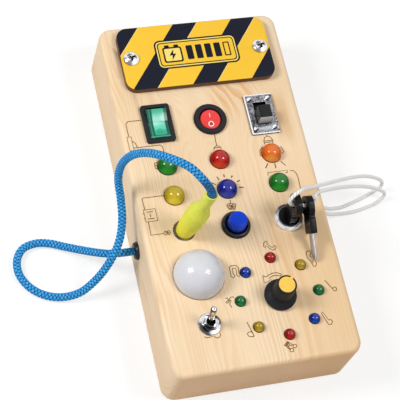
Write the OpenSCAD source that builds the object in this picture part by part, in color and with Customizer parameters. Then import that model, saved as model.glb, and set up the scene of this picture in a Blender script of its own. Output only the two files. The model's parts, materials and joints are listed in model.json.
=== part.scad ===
// Wooden busy board: a hollow pine block with switches, lamps, a lock and a plug on its front face.
// Millimetres. The board lies on its back, +Z out of the front face, +Y towards the battery cover.
// Origin: centre of the back face.

/* [Board] */
// Width of the pine block
board_w = 100; // [96:1:130]
// Length of the pine block
board_l = 200; // [198:1:240]
// Thickness of the pine block
board_t = 35; // [33:1:48]
// Radius of the four upright corners
corner_r = 7; // [5:0.5:14]
// Rounding of the front edges
top_edge_r = 3; // [1.5:0.5:4.5]
// Easing of the back edges
back_edge_r = 1; // [0.5:0.25:2]
// Wood left in front of the hollow
front_wall = 6; // [5:0.5:8]
// Wood left beside the hollow
side_wall = 9; // [7:0.5:9]
// Wood left at the lower end of the hollow
end_wall = 10; // [9:0.5:10.5]
// Corner radius of the routed hollow
pocket_r = 6; // [3:0.5:8]
// Thickness of the plywood back
back_t = 2.8; // [2:0.2:4]
// Width of the ledge that the back sits on
back_ledge = 6; // [5.6:0.1:6]
// How far the back lies inside the rear face
back_inset = 0.2; // [0.1:0.1:0.5]

/* [Layout] */
// Left side of the block to the left column of controls
left_inset = 21; // [20:0.2:21.6]
// Right side of the block to the right column of controls
right_inset = 21.8; // [21:0.2:22.4]
// Lower end of the block to the row with the push button and the lock
control_inset = 77; // [76.4:0.2:78]
// Cover's middle down to the square rocker, before the rows are spread out
rocker_step = 38.2; // [38:0.2:40]
// Square rocker down to the upper row of lamps
lamp_step = 24.6; // [23:0.2:26]
// Upper row of lamps down to the lower row
lamp_pitch = 17.3; // [16:0.1:18.4]
// Lower row of lamps down to the row with the push button
control_step = 20.5; // [19:0.1:22]
// How much lower the round rocker sits than the square one
red_rocker_drop = 0.8; // [-1:0.2:3]
// How much lower the slide switch sits than the square rocker
slide_drop = 1.2; // [-0.6:0.2:3]
// Left side of the block to the plug hole
plug_inset = 22; // [21:0.2:23]
// How much higher the plug hole and the spare key sit than the push button
plug_rise = 0.8; // [0:0.2:1.6]
// Left side of the block to the dome lamp
dome_inset = 24.2; // [24.2:0.2:25.4]
// Lower end of the block to the dome lamp
dome_up = 52.6; // [51.6:0.2:53.4]
// Left side of the block to the toggle switch
toggle_inset = 23.8; // [22:0.2:25.6]
// Lower end of the block to the toggle switch
toggle_up = 26.2; // [23.6:0.2:27]
// Centre of the ring of small lamps, across the board
ring_x = 13.3; // [12:0.2:15]
// Lower end of the block to the centre of the ring
ring_up = 35.7; // [35.1:0.2:38]
// Radius of the ring of small lamps
ring_r = 21; // [19:0.5:21.5]

/* [Battery bay] */
// Width of the striped cover
cover_w = 83; // [79:1:86]
// Height of the striped cover
cover_l = 37.5; // [35:0.5:38]
// Thickness of the striped cover
cover_t = 4; // [3:0.5:6]
// Corner radius of the striped cover
cover_r = 6; // [3:0.5:8]
// Upper end of the block to the cover's middle
cover_inset = 22.4; // [21.6:0.2:23]
// Distance between the two cover screws
cover_screw_pitch = 72.2; // [70:0.2:73]
// Thread diameter of the cover screws
cover_screw_d = 3; // [2.5:0.5:3.5]
// Head diameter of the cover screws
cover_screw_head_d = 8.4; // [6:0.2:9]
// Outer diameter of the brass inserts
insert_d = 5; // [4.6:0.2:6]
// Length of the brass inserts
insert_l = 8; // [6:0.5:12]
// Upper end of the block to the middle of the battery tray
tray_inset = 25.5; // [24.7:0.2:26]
// Diameter of a cell
cell_d = 10.5; // [10:0.1:10.8]
// Length of a cell with its button
cell_l = 44.5; // [43:0.5:46]

/* [Switches] */
// Square rocker bezel width
rocker_bezel_w = 15.6; // [14.5:0.1:17]
// Square rocker bezel height
rocker_bezel_l = 22; // [20.5:0.1:23]
// Height of both rocker bezels above the face
bezel_h = 1.8; // [1.2:0.1:2.4]
// Round rocker bezel diameter
round_bezel_d = 17.8; // [17:0.2:20]
// How far each rocker tips from its middle
rocker_tilt = 9; // [6:0.5:10]
// Slide switch plate width
slide_plate_w = 15.6; // [15:0.2:17]
// Slide switch plate height
slide_plate_l = 23.6; // [22.8:0.2:26]
// Slide switch plate thickness
slide_plate_t = 1.4; // [0.8:0.1:2]
// Travel of the slide switch
slide_travel = 4.6; // [3:0.2:5]
// Height of the slide knob above the face
slide_knob_h = 8; // [5:0.5:10]
// Push button bezel diameter
button_bezel_d = 16; // [14.6:0.2:18]
// Push button cap diameter at its top
button_cap_d = 9.2; // [8:0.2:9.6]
// Height of the push button cap above the face
button_cap_h = 8; // [6.5:0.5:10]
// Travel of the push button
button_travel = 3; // [2:0.5:3.5]
// Toggle washer diameter
toggle_washer_d = 11.8; // [10.6:0.2:13]
// Length of the toggle lever above its pivot
toggle_lever_l = 14; // [10:0.5:18]
// Diameter of the toggle lever near its tip
toggle_tip_d = 3.2; // [2.4:0.1:3.3]
// How far the toggle lever leans from upright
toggle_tilt = 12; // [8:1:12]

/* [Lamps] */
// Diameter of a large lamp
lamp_d = 10.6; // [9:0.2:12]
// Diameter of a small lamp
small_lamp_d = 5.7; // [4.6:0.1:6.2]
// How far the lamp domes' centres stand above the face
lamp_rise = 0.4; // [0:0.1:1.5]
// Radius of the white dome lamp
dome_r = 13.3; // [12:0.1:13.6]
// Wall of the white dome lamp
dome_wall = 1.5; // [1:0.1:2.5]

/* [Rotary knob] */
// Diameter of the knob's skirt
knob_d = 16.8; // [15.5:0.2:20]
// Height of the knob's top above the face
knob_h = 15.4; // [13:0.2:20]
// Diameter of the yellow cap
knob_cap_d = 8.4; // [7:0.2:9.2]
// Diameter of the shaft
shaft_d = 6; // [5:0.5:6]

/* [Lock and keys] */
// Diameter of the chrome lock bezel
lock_bezel_d = 15; // [14:0.2:18]
// Height of the lock bezel
lock_bezel_h = 2.4; // [1.8:0.1:3]
// Length of a key blade below its head
blade_l = 14; // [10:0.5:14]
// Width of a key blade
blade_w = 5; // [4:0.1:5.4]
// Thickness of a key blade
blade_t = 1.8; // [1.2:0.1:2]
// Thickness of a key head
head_t = 3.4; // [3:0.1:3.6]
// Width of a key head
head_w = 11.4; // [10:0.2:11.4]
// Lock to the spare key, across the board
spare_step = 7.8; // [7.8:0.1:8.6]
// How far the spare key lies down from upright
spare_lean = 67; // [64:1:69]

/* [Plug and cords] */
// Lean of the plug to the right
plug_lean = 8; // [6:0.5:9]
// Diameter of the plug handle
plug_d = 10.6; // [10:0.2:11]
// Diameter of the plug hole in the wood
plug_hole_d = 11.8; // [11.6:0.1:13]
// Diameter of the plug pin
pin_d = 5; // [4:0.25:6]
// Diameter of the braided cord
cord_d = 4.4; // [3.6:0.1:4.6]
// Diameter of the white key string
string_d = 2; // [1.6:0.1:2.2]
// Diameter of the side grommets' flanges
grommet_d = 10; // [9.4:0.2:13]
// Height of the side grommets above the back face
grommet_z = 17.5; // [16:0.5:18]

/* [Hidden] */
$fn = 48;
fit = 0.05; // running fit, on the radius
slack = 0.2; // loose fit, on each side
eps = 0.01;
big = 100;

face = board_t;
inner = board_t - front_wall;

// places of the controls; the rows spread out evenly over a longer block
left_x = left_inset - board_w / 2;
right_x = board_w / 2 - right_inset;
mid_x = (left_x + right_x) / 2;
cover_y = board_l / 2 - cover_inset;
control_row_y = control_inset - board_l / 2;
row_stretch = (cover_y - control_row_y) / (rocker_step + lamp_step + lamp_pitch + control_step);
green_rocker_y = cover_y - rocker_step * row_stretch;
red_rocker_y = green_rocker_y - red_rocker_drop;
slide_y = green_rocker_y - slide_drop;
lamp_row_a_y = green_rocker_y - lamp_step * row_stretch;
lamp_row_b_y = lamp_row_a_y - lamp_pitch * row_stretch;
plug_x = plug_inset - board_w / 2;
plug_y = control_row_y + plug_rise;
dome_x = dome_inset - board_w / 2;
dome_y = dome_up - board_l / 2;
toggle_x = toggle_inset - board_w / 2;
toggle_y = toggle_up - board_l / 2;
ring_y = ring_up - board_l / 2;
spare_x = right_x + spare_step;
spare_y = plug_y;

// hollow
rocker_ledge = 1;
hollow_w = board_w - 2 * side_wall;
hollow_y0 = -board_l / 2 + end_wall;
rocker_room = 7.6;
hollow_y1 = green_rocker_y + rocker_bezel_l / 2 - rocker_ledge + rocker_room;
bay_w = 62;
bay_overlap = 12;
upper_wall = 10;
bay_y1 = board_l / 2 - upper_wall;
bay_y0 = hollow_y1 - bay_overlap;
rebate_w = hollow_w + 2 * back_ledge;
rebate_y0 = hollow_y0 - back_ledge;
rebate_y1 = bay_y1 + back_ledge;
back_top = back_inset + back_t;
back_screw_d = 2.6;
back_screw_head_d = 4.8;
back_screw_cone_h = 1.1;
back_screw_l = 12;
back_screw_x = hollow_w / 2 + back_ledge / 2;
back_screw_inset_y = 8;

// battery bay
bay_y = board_l / 2 - tray_inset;
bay_gap = 1;
tray_wall = 1.5;
spring_room = 4.7;
contact_t = 0.5;
contact_bump_h = 0.8;
contact_w = 8;
contact_len = cell_l + spring_room + 2 * contact_t + contact_bump_h;
tray_w = contact_len + 2 * tray_wall;
window_w = tray_w - 2;
window_l = 2 * cell_d + 2;
tray_l = 2 * cell_d + 1 + 2 * tray_wall;
tray_h = cell_d + 3.5;
tray_flange_w = bay_w - 2 * bay_gap;
tray_flange_l = 29.4;
tray_flange_t = 1.5;
cell_z = inner - tray_flange_t - cell_d / 2 - 0.4;
cell_nub_d = 3.8;
cell_nub_l = 0.8;
cell_pitch = cell_d + 0.4;

// electronics
board_z = back_top + 2.2;
board_th = 1.6;
board_top = board_z + board_th;
pcb_w = hollow_w - 6;
pcb_y0 = hollow_y0 + 4;
pcb_y1 = hollow_y1 - 5;
pcb_bay_w = bay_w - 6;
pcb_bay_y1 = bay_y1 - 10;
pcb_screw_d = 2.5;
pcb_screw_x = pcb_w / 2 - 4;
pcb_screw_ys = [pcb_y0 + 4, pcb_y1 - 4];
terminal_t = 0.8;
terminal_w = 3;

// rockers
rocker_wall = 1;
rocker_body_w = rocker_bezel_w - 2 * rocker_ledge;
rocker_body_l = rocker_bezel_l - 2 * rocker_ledge;
rocker_body_h = 18;
rocker_open_w = rocker_body_w - 2 * 1.3;
rocker_open_l = rocker_body_l - 1.6;
rocker_pivot = face + bezel_h - 3.4;
rocker_turn_r = rocker_open_l / 2 - 0.1;
rocker_w = rocker_open_w - 2 * slack;
rocker_top = 3.4;
rocker_pin_r = 1;
round_body_d = round_bezel_d - 2.6;
round_open_d = round_body_d - 3;
round_ball_r = round_open_d / 2 - 0.1;
round_top = 2.6;
round_pivot = face + bezel_h - 3.2;

// slide switch
slide_open_w = 7.2;
slide_knob_w = slide_open_w - 2 * slack;
slide_knob_l = 7.6;
slide_open_l = slide_knob_l + slide_travel + 1;
slide_body_w = slide_plate_w - 2.6;
slide_body_l = slide_plate_l - 3.6;
slide_body_h = 12;
slide_carriage_w = 9;
slide_carriage_l = 10;
slide_carriage_t = 2.7;
slide_channel_l = slide_carriage_l + slide_travel + 0.6;
slide_open_y = slide_y + 0.4;
slide_knob_y = slide_open_y - slide_travel / 2;
rivet_d = 1.8;
rivet_head_d = 2.6;
rivet_head_t = 0.6;
rivet_l = 3;
rivet_x = slide_plate_w / 2 - 2.6;
rivet_y = slide_plate_l / 2 - 3;

// push button
button_bezel_h = 2;
button_barrel_d = button_bezel_d - 2.4;
button_body_l = 18;
button_bottom = face - button_body_l;
button_recess_d = button_barrel_d - 2.2;
button_recess_z = face - button_travel + 1.6;
button_stem_d = 6.9;
button_stem_l = 8;
button_stem_z = face - button_stem_l;
button_cap_z = button_recess_z + button_travel + 0.2;
spring_d = 5.6;
spring_wire = 0.7;
spring_turns = 6;
spring_drop = 15;
spring_z0 = face - spring_drop;
nut_h = 2.5;

// toggle switch
toggle_pivot = face + 2;
toggle_ball_r = 2.2;
toggle_bore_r = toggle_ball_r + fit;
toggle_bushing_d = 6;
toggle_pin_r = 0.6;
toggle_pin_reach = 2.7;
toggle_bushing_top = face + 4.4;
toggle_body_w = 12.6;
toggle_body_l = 13.2;
toggle_body_h = 12;
toggle_washer_t = 0.8;
toggle_nut_af = 8;
toggle_nut_h = 2.2;

// lamps
lamp_legs = 0.6;
lamp_flange = 0.6;
lamp_flange_t = 1.5;
ring_steps = 8;
dome_flange_r = dome_r + 1.4;
dome_flange_t = 1.5;

// rotary knob
bushing_d = 7;
bushing_top = face + 2.8;
pot_d = 16;
pot_h = 9;
pot_nut_af = 9;
pot_nut_h = 2;
knob_gap = 0.6;
knob_body_r = 5.8;
knob_top_r = 5.1;
knob_recess_r = 5.5;
knob_flutes = 18;
flute_r = 0.4;
pointer_w = 1.4;
pointer_angle = 45;
cap_t = 1.2;

// lock and keys
lock_barrel_d = 11.8;
lock_body_l = 21;
lock_bottom = face - lock_body_l;
lock_floor = 2;
lock_slot_floor = 4;
lock_chamfer = 1;
lock_core_d = 9;
lock_rim = 1.9;
lock_disc_d = lock_bezel_d - 2 * lock_rim;
lock_disc_z = face + 0.6;
lock_disc_top = face + lock_bezel_h - 0.2;
slot_slack = 0.1;
head_up = 4.8;
head_down = 14.8;
head_hole_d = 3.9;
key_z = face + lock_bezel_h + slack + head_down;
blade_root = 6;
blade_tip = 3;
blade_tip_w = 2;
blade_corner = head_down + blade_l - blade_tip;
spare_z = face + 0.3 + blade_corner * cos(spare_lean) + blade_w / 2 * sin(spare_lean);

// plug, jack and grommets
plug_pivot = face - front_wall / 2;
handle_low = 2;
handle_mid = 26;
handle_shoulder = 33.5;
handle_top = 46;
tail_d = 6.4;
neck_d = 6.2;
tail_depth = 1.5;
pin_l = 19;
jack_d = 13;
jack_flange_d = 18;
jack_flange_t = 1.8;
jack_low = -23;
jack_floor = 2;
jack_clear = 1.5;
grommet_flange_t = 2;
grommet_neck_d = grommet_d - 2;
grommet_inner_t = 1.5;
string_gap = 1.4;
string_rise = 9;
string_y = control_row_y + string_rise;
cord_y = control_row_y;

// route of the braided cord, from the left grommet to the tail of the plug
tail_floor = handle_top - tail_depth;
cord_end_x = plug_x + tail_floor * sin(plug_lean);
cord_end_z = plug_pivot + tail_floor * cos(plug_lean);
cord_route = [
    [-52, -23, 17.5],
    [-58, -23, 17.5],
    [-64.5, -22, 16],
    [-71.5, -18, 11],
    [-78, -13.5, 6],
    [-85, -9.5, 3],
    [-92, -6.5, 2.3],
    [-99, -5.5, 2.3],
    [-106, -7.5, 2.3],
    [-110, -13, 2.3],
    [-110.5, -21, 2.3],
    [-106.5, -29, 2.3],
    [-99.5, -34.5, 2.3],
    [-91, -37, 2.4],
    [-82, -37, 5],
    [-74, -34, 11.5],
    [-67, -29, 20],
    [-61, -21, 27],
    [-58, -11.5, 32],
    [-57.5, -1.5, 37.5],
    [-58.5, 6, 46],
    [-57.5, 9, 57],
    [-54, 8, 68],
    [-48.5, 3, 79],
    [-41, -5, 87.5],
    [-33, -12.5, 90.5],
    [-28, -18, 88.5],
    [-24, -21, 83.5],
];

// route of the key string: right grommet, out over the table, through both keys and back again
string_route = [
    [52, -12.6, 17.5],
    [54, -12.6, 17.5],
    [56.6, -12.1, 15.7],
    [60.5, -11.4, 11.6],
    [64.7, -9.8, 7.4],
    [70.8, -8.2, 3.4],
    [77.3, -6, 1.5],
    [83.9, -3.9, 1.3],
    [89.6, -1.8, 1.3],
    [94, -0.1, 2],
    [96.9, 1.1, 4.6],
    [96.3, 2, 8.4],
    [92, 2.8, 12.2],
    [85.5, 2.7, 16.5],
    [78.2, 1.4, 21],
    [69.8, -1.4, 27],
    [61.5, -4.5, 33],
    [53.2, -7.9, 39],
    [45.5, -11, 44.9],
    [39, -13.8, 50.4],
    [35, -15.8, 55.1],
    [32.4, -17.3, 58.2],
    [30.3, -18.6, 60],
    [28, -19.9, 60.6],
    [25.9, -20.9, 60.1],
    [24.4, -21.8, 58.6],
    [23.8, -22.5, 56.5],
    [24.4, -22.9, 54.4],
    [25.9, -23, 53],
    [27.8, -23, 52.55],
    [29.9, -23, 51.9],
    [31.4, -22.9, 50.8],
    [32.8, -22.7, 49.3],
    [34.3, -22.4, 48.1],
    [36.1, -22.2, 47.45],
    [38, -21.9, 47.05],
    [39.8, -21.2, 46.7],
    [41.2, -19.9, 46.3],
    [41.9, -17.9, 45.9],
    [42.6, -16, 45.5],
    [44.3, -14.6, 45],
    [47.6, -13.6, 43.4],
    [54.2, -11.2, 38.5],
    [62.3, -8.5, 32.5],
    [70.6, -6, 26],
    [78.9, -4, 19.5],
    [86.3, -3, 14.1],
    [91.3, -3, 10.6],
    [95.1, -3.4, 7.7],
    [97.2, -4.1, 5.2],
    [96.9, -5.1, 2.9],
    [94.9, -6.3, 1.5],
    [91.4, -7.9, 1.3],
    [86, -9.4, 1.3],
    [79.7, -10.7, 1.3],
    [73.1, -11.7, 2.6],
    [66.4, -12.9, 6.2],
    [60.3, -14.7, 11.6],
    [56.6, -15.4, 15.8],
    [54, -15.4, 17.5],
    [52, -15.4, 17.5],
];

// ---- helpers ----

// A rectangle with round corners, centred
module round_rect(w, l, r) {
    square([w - 2 * r, l], center = true);
    square([w, l - 2 * r], center = true);
    for (sx = [-1, 1], sy = [-1, 1])
        translate([sx * (w / 2 - r), sy * (l / 2 - r)])
            circle(r);
}

// An upright plate from z0 to z1 with a round-cornered outline
module plate(w, l, r, z0, z1) {
    translate([0, 0, z0])
        linear_extrude(z1 - z0)
            round_rect(w, l, r);
}

// An upright cylinder from z0 to z1
module rod(d, z0, z1) {
    translate([0, 0, z0])
        cylinder(d = d, h = z1 - z0);
}

// A hexagonal nut with its bore
module hex_nut(across_flats, bore, z0, z1) {
    difference() {
        translate([0, 0, z0])
            cylinder(d = across_flats / cos(30), h = z1 - z0, $fn = 6);
        rod(bore, z0 - 1, z1 + 1);
    }
}

function unit(v) = v / norm(v);
function along(p, i) = unit(p[min(i + 1, len(p) - 1)] - p[max(i - 1, 0)]);
// one step of a frame that is carried along the route without twisting
function carried(u, t) = unit(u - (u * t) * t);
function frames(p, u, i = 0) =
    i == len(p) ? [] : let (v = carried(u, along(p, i))) concat([v], frames(p, v, i + 1));

// A closed tube of n sides swept along the points p; u is a direction across its start
module tube(p, d, n, u) {
    sides = frames(p, u);
    rings = len(p);
    points = [for (i = [0:rings - 1], k = [0:n - 1])
        let (t = along(p, i), v = sides[i], w = cross(t, v), a = 360 * k / n)
            p[i] + d / 2 * (cos(a) * v + sin(a) * w)];
    walls = [for (i = [0:rings - 2], k = [0:n - 1])
        let (a = i * n + k, b = i * n + (k + 1) % n)
            each [[a, b + n, b], [a, a + n, b + n]]];
    start_cap = [[for (k = [0:n - 1]) k]];
    end_cap = [[for (k = [n - 1:-1:0]) (rings - 1) * n + k]];
    polyhedron(points, concat(start_cap, walls, end_cap));
}

// ---- block and back ----

// Upright section of a block of width w, with its front edges rounded and its back edges eased
module block_section(w) {
    translate([-w / 2, back_edge_r])
        square([w, board_t - top_edge_r - back_edge_r]);
    translate([-w / 2 + back_edge_r, 0])
        square([w - 2 * back_edge_r, board_t / 2]);
    translate([-w / 2 + top_edge_r, board_t / 2])
        square([w - 2 * top_edge_r, board_t / 2]);
    for (side = [-1, 1]) {
        translate([side * (w / 2 - top_edge_r), board_t - top_edge_r])
            circle(top_edge_r);
        translate([side * (w / 2 - back_edge_r), back_edge_r])
            circle(back_edge_r);
    }
}

module block() {
    rotate([90, 0, 0])
        linear_extrude(board_l - 2 * corner_r, center = true)
            block_section(board_w);
    rotate([90, 0, 90])
        linear_extrude(board_w - 2 * corner_r, center = true)
            block_section(board_l);
    for (sx = [-1, 1], sy = [-1, 1])
        translate([sx * (board_w / 2 - corner_r), sy * (board_l / 2 - corner_r), 0])
            rotate_extrude()
                intersection() {
                    block_section(2 * corner_r);
                    square([corner_r, board_t]);
                }
}

// A pocket between two heights up the board
module pocket(w, y0, y1, r, z0, z1) {
    translate([0, (y0 + y1) / 2, 0])
        plate(w, y1 - y0, r, z0, z1);
}

module at_back_screws() {
    middle = (rebate_y0 + rebate_y1) / 2;
    reach = (rebate_y1 - rebate_y0) / 2 - back_screw_inset_y;
    for (sx = [-1, 1], sy = [-1, 0, 1])
        translate([sx * back_screw_x, middle + sy * reach, 0])
            children();
}

module at_cover_screws() {
    for (side = [-1, 1])
        translate([side * cover_screw_pitch / 2, cover_y, 0])
            children();
}

module at_large_lamps() {
    for (x = [left_x, mid_x, right_x], y = [lamp_row_a_y, lamp_row_b_y])
        translate([x, y, 0])
            children();
}

// A place on the ring of small lamps; step 0 is at the top and steps run clockwise
module at_ring(step) {
    angle = 90 - 360 * step / ring_steps;
    translate([ring_x + ring_r * cos(angle), ring_y + ring_r * sin(angle), 0])
        children();
}

module wood_body() {
    color("burlywood")
        difference() {
            block();
            pocket(hollow_w, hollow_y0, hollow_y1, pocket_r, -1, inner);
            pocket(bay_w, bay_y0, bay_y1, pocket_r, -1, inner);
            pocket(rebate_w, rebate_y0, rebate_y1, pocket_r, -1, back_top);
            translate([0, bay_y, 0])
                plate(window_w, window_l, 2, inner - 1, face + 1);
            at_back_screws()
                rod(back_screw_d + 2 * fit, 0, back_screw_l + 1);
            at_cover_screws()
                rod(insert_d + 2 * fit, face - insert_l - 1, face + 1);
            translate([left_x, green_rocker_y, 0])
                plate(rocker_body_w + 2 * slack, rocker_body_l + 2 * slack, 0.5, inner - 1, face + 1);
            translate([mid_x, red_rocker_y, 0])
                rod(round_body_d + 2 * slack, inner - 1, face + 1);
            translate([right_x, slide_y, 0])
                plate(slide_body_w + 2 * slack, slide_body_l + 2 * slack, 0.5, inner - 1, face + 1);
            at_large_lamps()
                rod(lamp_d + 2 * slack, inner - 1, face + 1);
            for (step = [0:ring_steps - 1])
                at_ring(step)
                    rod(small_lamp_d + 2 * slack, inner - 1, face + 1);
            translate([mid_x, control_row_y, 0])
                rod(button_barrel_d + 2 * slack, inner - 1, face + 1);
            translate([right_x, control_row_y, 0])
                rod(lock_barrel_d + 2 * slack, inner - 1, face + 1);
            translate([plug_x, plug_y, 0])
                rod(plug_hole_d, inner - 1, face + 1);
            translate([dome_x, dome_y, 0])
                rod(2 * dome_r + 2 * slack, inner - 1, face + 1);
            translate([toggle_x, toggle_y, 0])
                rod(toggle_bushing_d + 2 * slack, inner - 1, face + 1);
            translate([ring_x, ring_y, 0])
                rod(bushing_d + 2 * slack, inner - 1, face + 1);
            translate([0, cord_y, grommet_z])
                rotate([0, -90, 0])
                    rod(grommet_neck_d + 2 * fit, hollow_w / 2 - 1, board_w / 2 + 1);
            translate([0, string_y, grommet_z])
                rotate([0, 90, 0])
                    rod(grommet_neck_d + 2 * fit, hollow_w / 2 - 1, board_w / 2 + 1);
        }
}

module back_panel() {
    w = rebate_w - 2 * slack;
    color("tan")
        difference() {
            pocket(w, rebate_y0 + slack, rebate_y1 - slack, pocket_r - slack, back_inset, back_top);
            at_back_screws() {
                rod(back_screw_d + 2 * slack, -1, back_top + 1);
                countersink(fit);
            }
            at_board_screws()
                rod(pcb_screw_d + 2 * fit, back_inset + 0.8, back_top + 1);
        }
}

// The sunk cone of a back screw, grown by the clearance c
module countersink(c) {
    translate([0, 0, back_inset])
        cylinder(d1 = back_screw_head_d + 2 * c, d2 = back_screw_d + 2 * c, h = back_screw_cone_h);
}

module cross_recess(size, z0, z1) {
    for (turn = [0, 90])
        rotate(turn)
            translate([-size / 2, -size / 10, z0])
                cube([size, size / 5, z1 - z0]);
}

module back_screws() {
    color("gray")
        at_back_screws()
            difference() {
                union() {
                    countersink(0);
                    rod(back_screw_d, back_inset, back_screw_l);
                }
                cross_recess(2.8, back_inset - 1, back_inset + 0.8);
            }
}

// ---- battery bay ----

module battery_cover() {
    color("gold")
        difference() {
            translate([0, cover_y, 0])
                plate(cover_w, cover_l, cover_r, face, face + cover_t);
            at_cover_screws()
                rod(cover_screw_d + 2 * slack, face - 1, face + cover_t + 1);
        }
}

module cover_screws() {
    head_z = face + cover_t;
    head_h = 2.3;
    crown_h = 1.5;
    crown_r = (pow(cover_screw_head_d / 2, 2) + pow(crown_h, 2)) / (2 * crown_h);
    color("silver")
        at_cover_screws()
            difference() {
                union() {
                    intersection() {
                        rod(cover_screw_head_d, head_z, head_z + head_h);
                        translate([0, 0, head_z + head_h - crown_r])
                            sphere(crown_r);
                    }
                    rod(cover_screw_d, face - insert_l + 1, head_z + 0.5);
                }
                cross_recess(cover_screw_head_d / 2, head_z + 0.9, head_z + head_h + 1);
            }
}

module cover_inserts() {
    color("goldenrod")
        at_cover_screws()
            difference() {
                rod(insert_d, face - insert_l, face);
                rod(cover_screw_d + 2 * fit, face - insert_l - 1, face + 1);
            }
}

module battery_holder() {
    floor_z = inner - tray_h - tray_flange_t;
    slot = contact_t + 0.1;
    color("dimgray")
        translate([0, bay_y, 0])
            difference() {
                union() {
                    plate(tray_w, tray_l, 1, floor_z, inner - eps);
                    plate(tray_flange_w, tray_flange_l, pocket_r - 1, inner - tray_flange_t, inner);
                }
                plate(contact_len, tray_l - 2 * tray_wall, 0.5, floor_z + tray_wall, inner + 1);
                for (side = [-1, 1], row = [-1, 1])
                    translate([side * (contact_len - slot) / 2, row * cell_pitch / 2, floor_z])
                        cube([slot + eps, contact_w + 0.2, 4 * tray_wall], center = true);
            }
}

module battery_cells() {
    body_l = cell_l - cell_nub_l;
    plus_end = contact_len / 2 - contact_t - contact_bump_h;
    color("silver")
        for (row = [-1, 1])
            translate([0, bay_y + row * cell_pitch / 2, cell_z])
                rotate([0, row * 90, 0]) {
                    rod(cell_d, plus_end - cell_l, plus_end - cell_nub_l);
                    rod(cell_nub_d, plus_end - cell_nub_l - eps, plus_end);
                }
}

module battery_contacts() {
    low = board_top;
    high = cell_z + contact_w / 2;
    end_x = contact_len / 2;
    color("lightgray")
        for (row = [-1, 1])
            translate([0, bay_y + row * cell_pitch / 2, 0]) {
                for (side = [-1, 1])
                    translate([side * (end_x - contact_t / 2) - contact_t / 2, -contact_w / 2, low])
                        cube([contact_t, contact_w, high - low]);
                translate([0, 0, cell_z])
                    rotate([0, row * 90, 0]) {
                        rod(cell_nub_d - 0.8, end_x - contact_t - contact_bump_h, end_x - contact_t + eps);
                        translate([0, 0, -end_x + contact_t - eps])
                            cylinder(d1 = 7, d2 = 5, h = spring_room + eps);
                    }
            }
}

// ---- electronics ----

module at_board_screws() {
    for (side = [-1, 1], y = pcb_screw_ys)
        translate([side * pcb_screw_x, y, 0])
            children();
}

module main_board() {
    color("green")
        difference() {
            union() {
                pocket(pcb_w, pcb_y0, pcb_y1, 2, board_z, board_top);
                pocket(pcb_bay_w, bay_y0, pcb_bay_y1, 2, board_z, board_top);
            }
            at_board_screws()
                rod(pcb_screw_d + 2 * slack, 0, board_top + 1);
        }
}

module board_spacers() {
    color("white")
        at_board_screws()
            difference() {
                rod(6, back_top, board_z);
                rod(pcb_screw_d + 2 * slack, 0, board_top);
            }
}

module board_screws() {
    color("gray")
        at_board_screws() {
            rod(pcb_screw_d, back_inset + 1, board_top + 0.5);
            difference() {
                rod(4.8, board_top, board_top + 1.6);
                cross_recess(2.6, board_top + 0.8, board_top + 2);
            }
        }
}

// Solder tags from the underside of a switch down to the circuit board
module tags(offsets, top) {
    for (p = offsets)
        translate([p[0] - terminal_w / 2, p[1] - terminal_t / 2, board_top])
            cube([terminal_w, terminal_t, top - board_top]);
}

module switch_terminals() {
    color("goldenrod") {
        translate([left_x, green_rocker_y, 0])
            tags([[0, -6], [0, 0], [0, 6]], face - rocker_body_h);
        translate([mid_x, red_rocker_y, 0])
            tags([[0, -4.5], [0, 0], [0, 4.5]], face - rocker_body_h);
        translate([right_x, slide_y, 0])
            tags([[0, -5], [0, 0], [0, 5]], face - slide_body_h);
        translate([mid_x, control_row_y, 0])
            tags([[0, -3.5], [0, 3.5]], button_bottom);
        translate([right_x, control_row_y, 0])
            tags([[0, -3.5], [0, 3.5]], lock_bottom);
        translate([toggle_x, toggle_y, 0])
            tags([[0, -4.5], [0, 0], [0, 4.5]], inner - toggle_body_h);
        translate([ring_x, ring_y, 0])
            tags([[0, -5], [0, 0], [0, 5]], inner - pot_h);
        translate([plug_x, plug_y, 0])
            tags([[0, -7.5], [0, 7.5]], inner - jack_flange_t);
        translate([dome_x, dome_y, 0])
            tags([[0, -10], [0, 10]], inner - dome_flange_t - board_th);
    }
}

// ---- rocker switches ----

// Two stub pins across X at the pivot
module rocker_pins(reach, r) {
    rotate([0, 90, 0])
        cylinder(r = r, h = 2 * reach, center = true);
}

module green_rocker_housing() {
    floor_z = rocker_pivot - rocker_turn_r - 0.5;
    color([0.12, 0.12, 0.13])
        translate([left_x, green_rocker_y, 0])
            difference() {
                union() {
                    plate(rocker_bezel_w, rocker_bezel_l, 1.5, face, face + bezel_h);
                    plate(rocker_body_w, rocker_body_l, 0.5, face - rocker_body_h, face + eps);
                }
                plate(rocker_open_w, rocker_open_l, 0.4, floor_z, face + bezel_h + 1);
                translate([0, 0, rocker_pivot])
                    rocker_pins(rocker_open_w / 2 + 1, rocker_pin_r + fit);
            }
}

module green_rocker() {
    wedge = 20;
    color([0.2, 0.75, 0.6])
        translate([left_x, green_rocker_y, rocker_pivot])
            rotate([rocker_tilt, 0, 0]) {
                difference() {
                    intersection() {
                        rotate([0, 90, 0])
                            cylinder(r = rocker_turn_r, h = rocker_w, center = true);
                        translate([-rocker_w, -wedge, -3])
                            cube([2 * rocker_w, 2 * wedge, wedge]);
                    }
                    for (side = [0, 180])
                        rotate(side)
                            translate([-wedge / 2, 0, rocker_top])
                                rotate([rocker_tilt, 0, 0])
                                    translate([0, -1, 0])
                                        cube([wedge, wedge, wedge]);
                }
                rocker_pins(rocker_open_w / 2 + 0.9, rocker_pin_r);
            }
}

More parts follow.
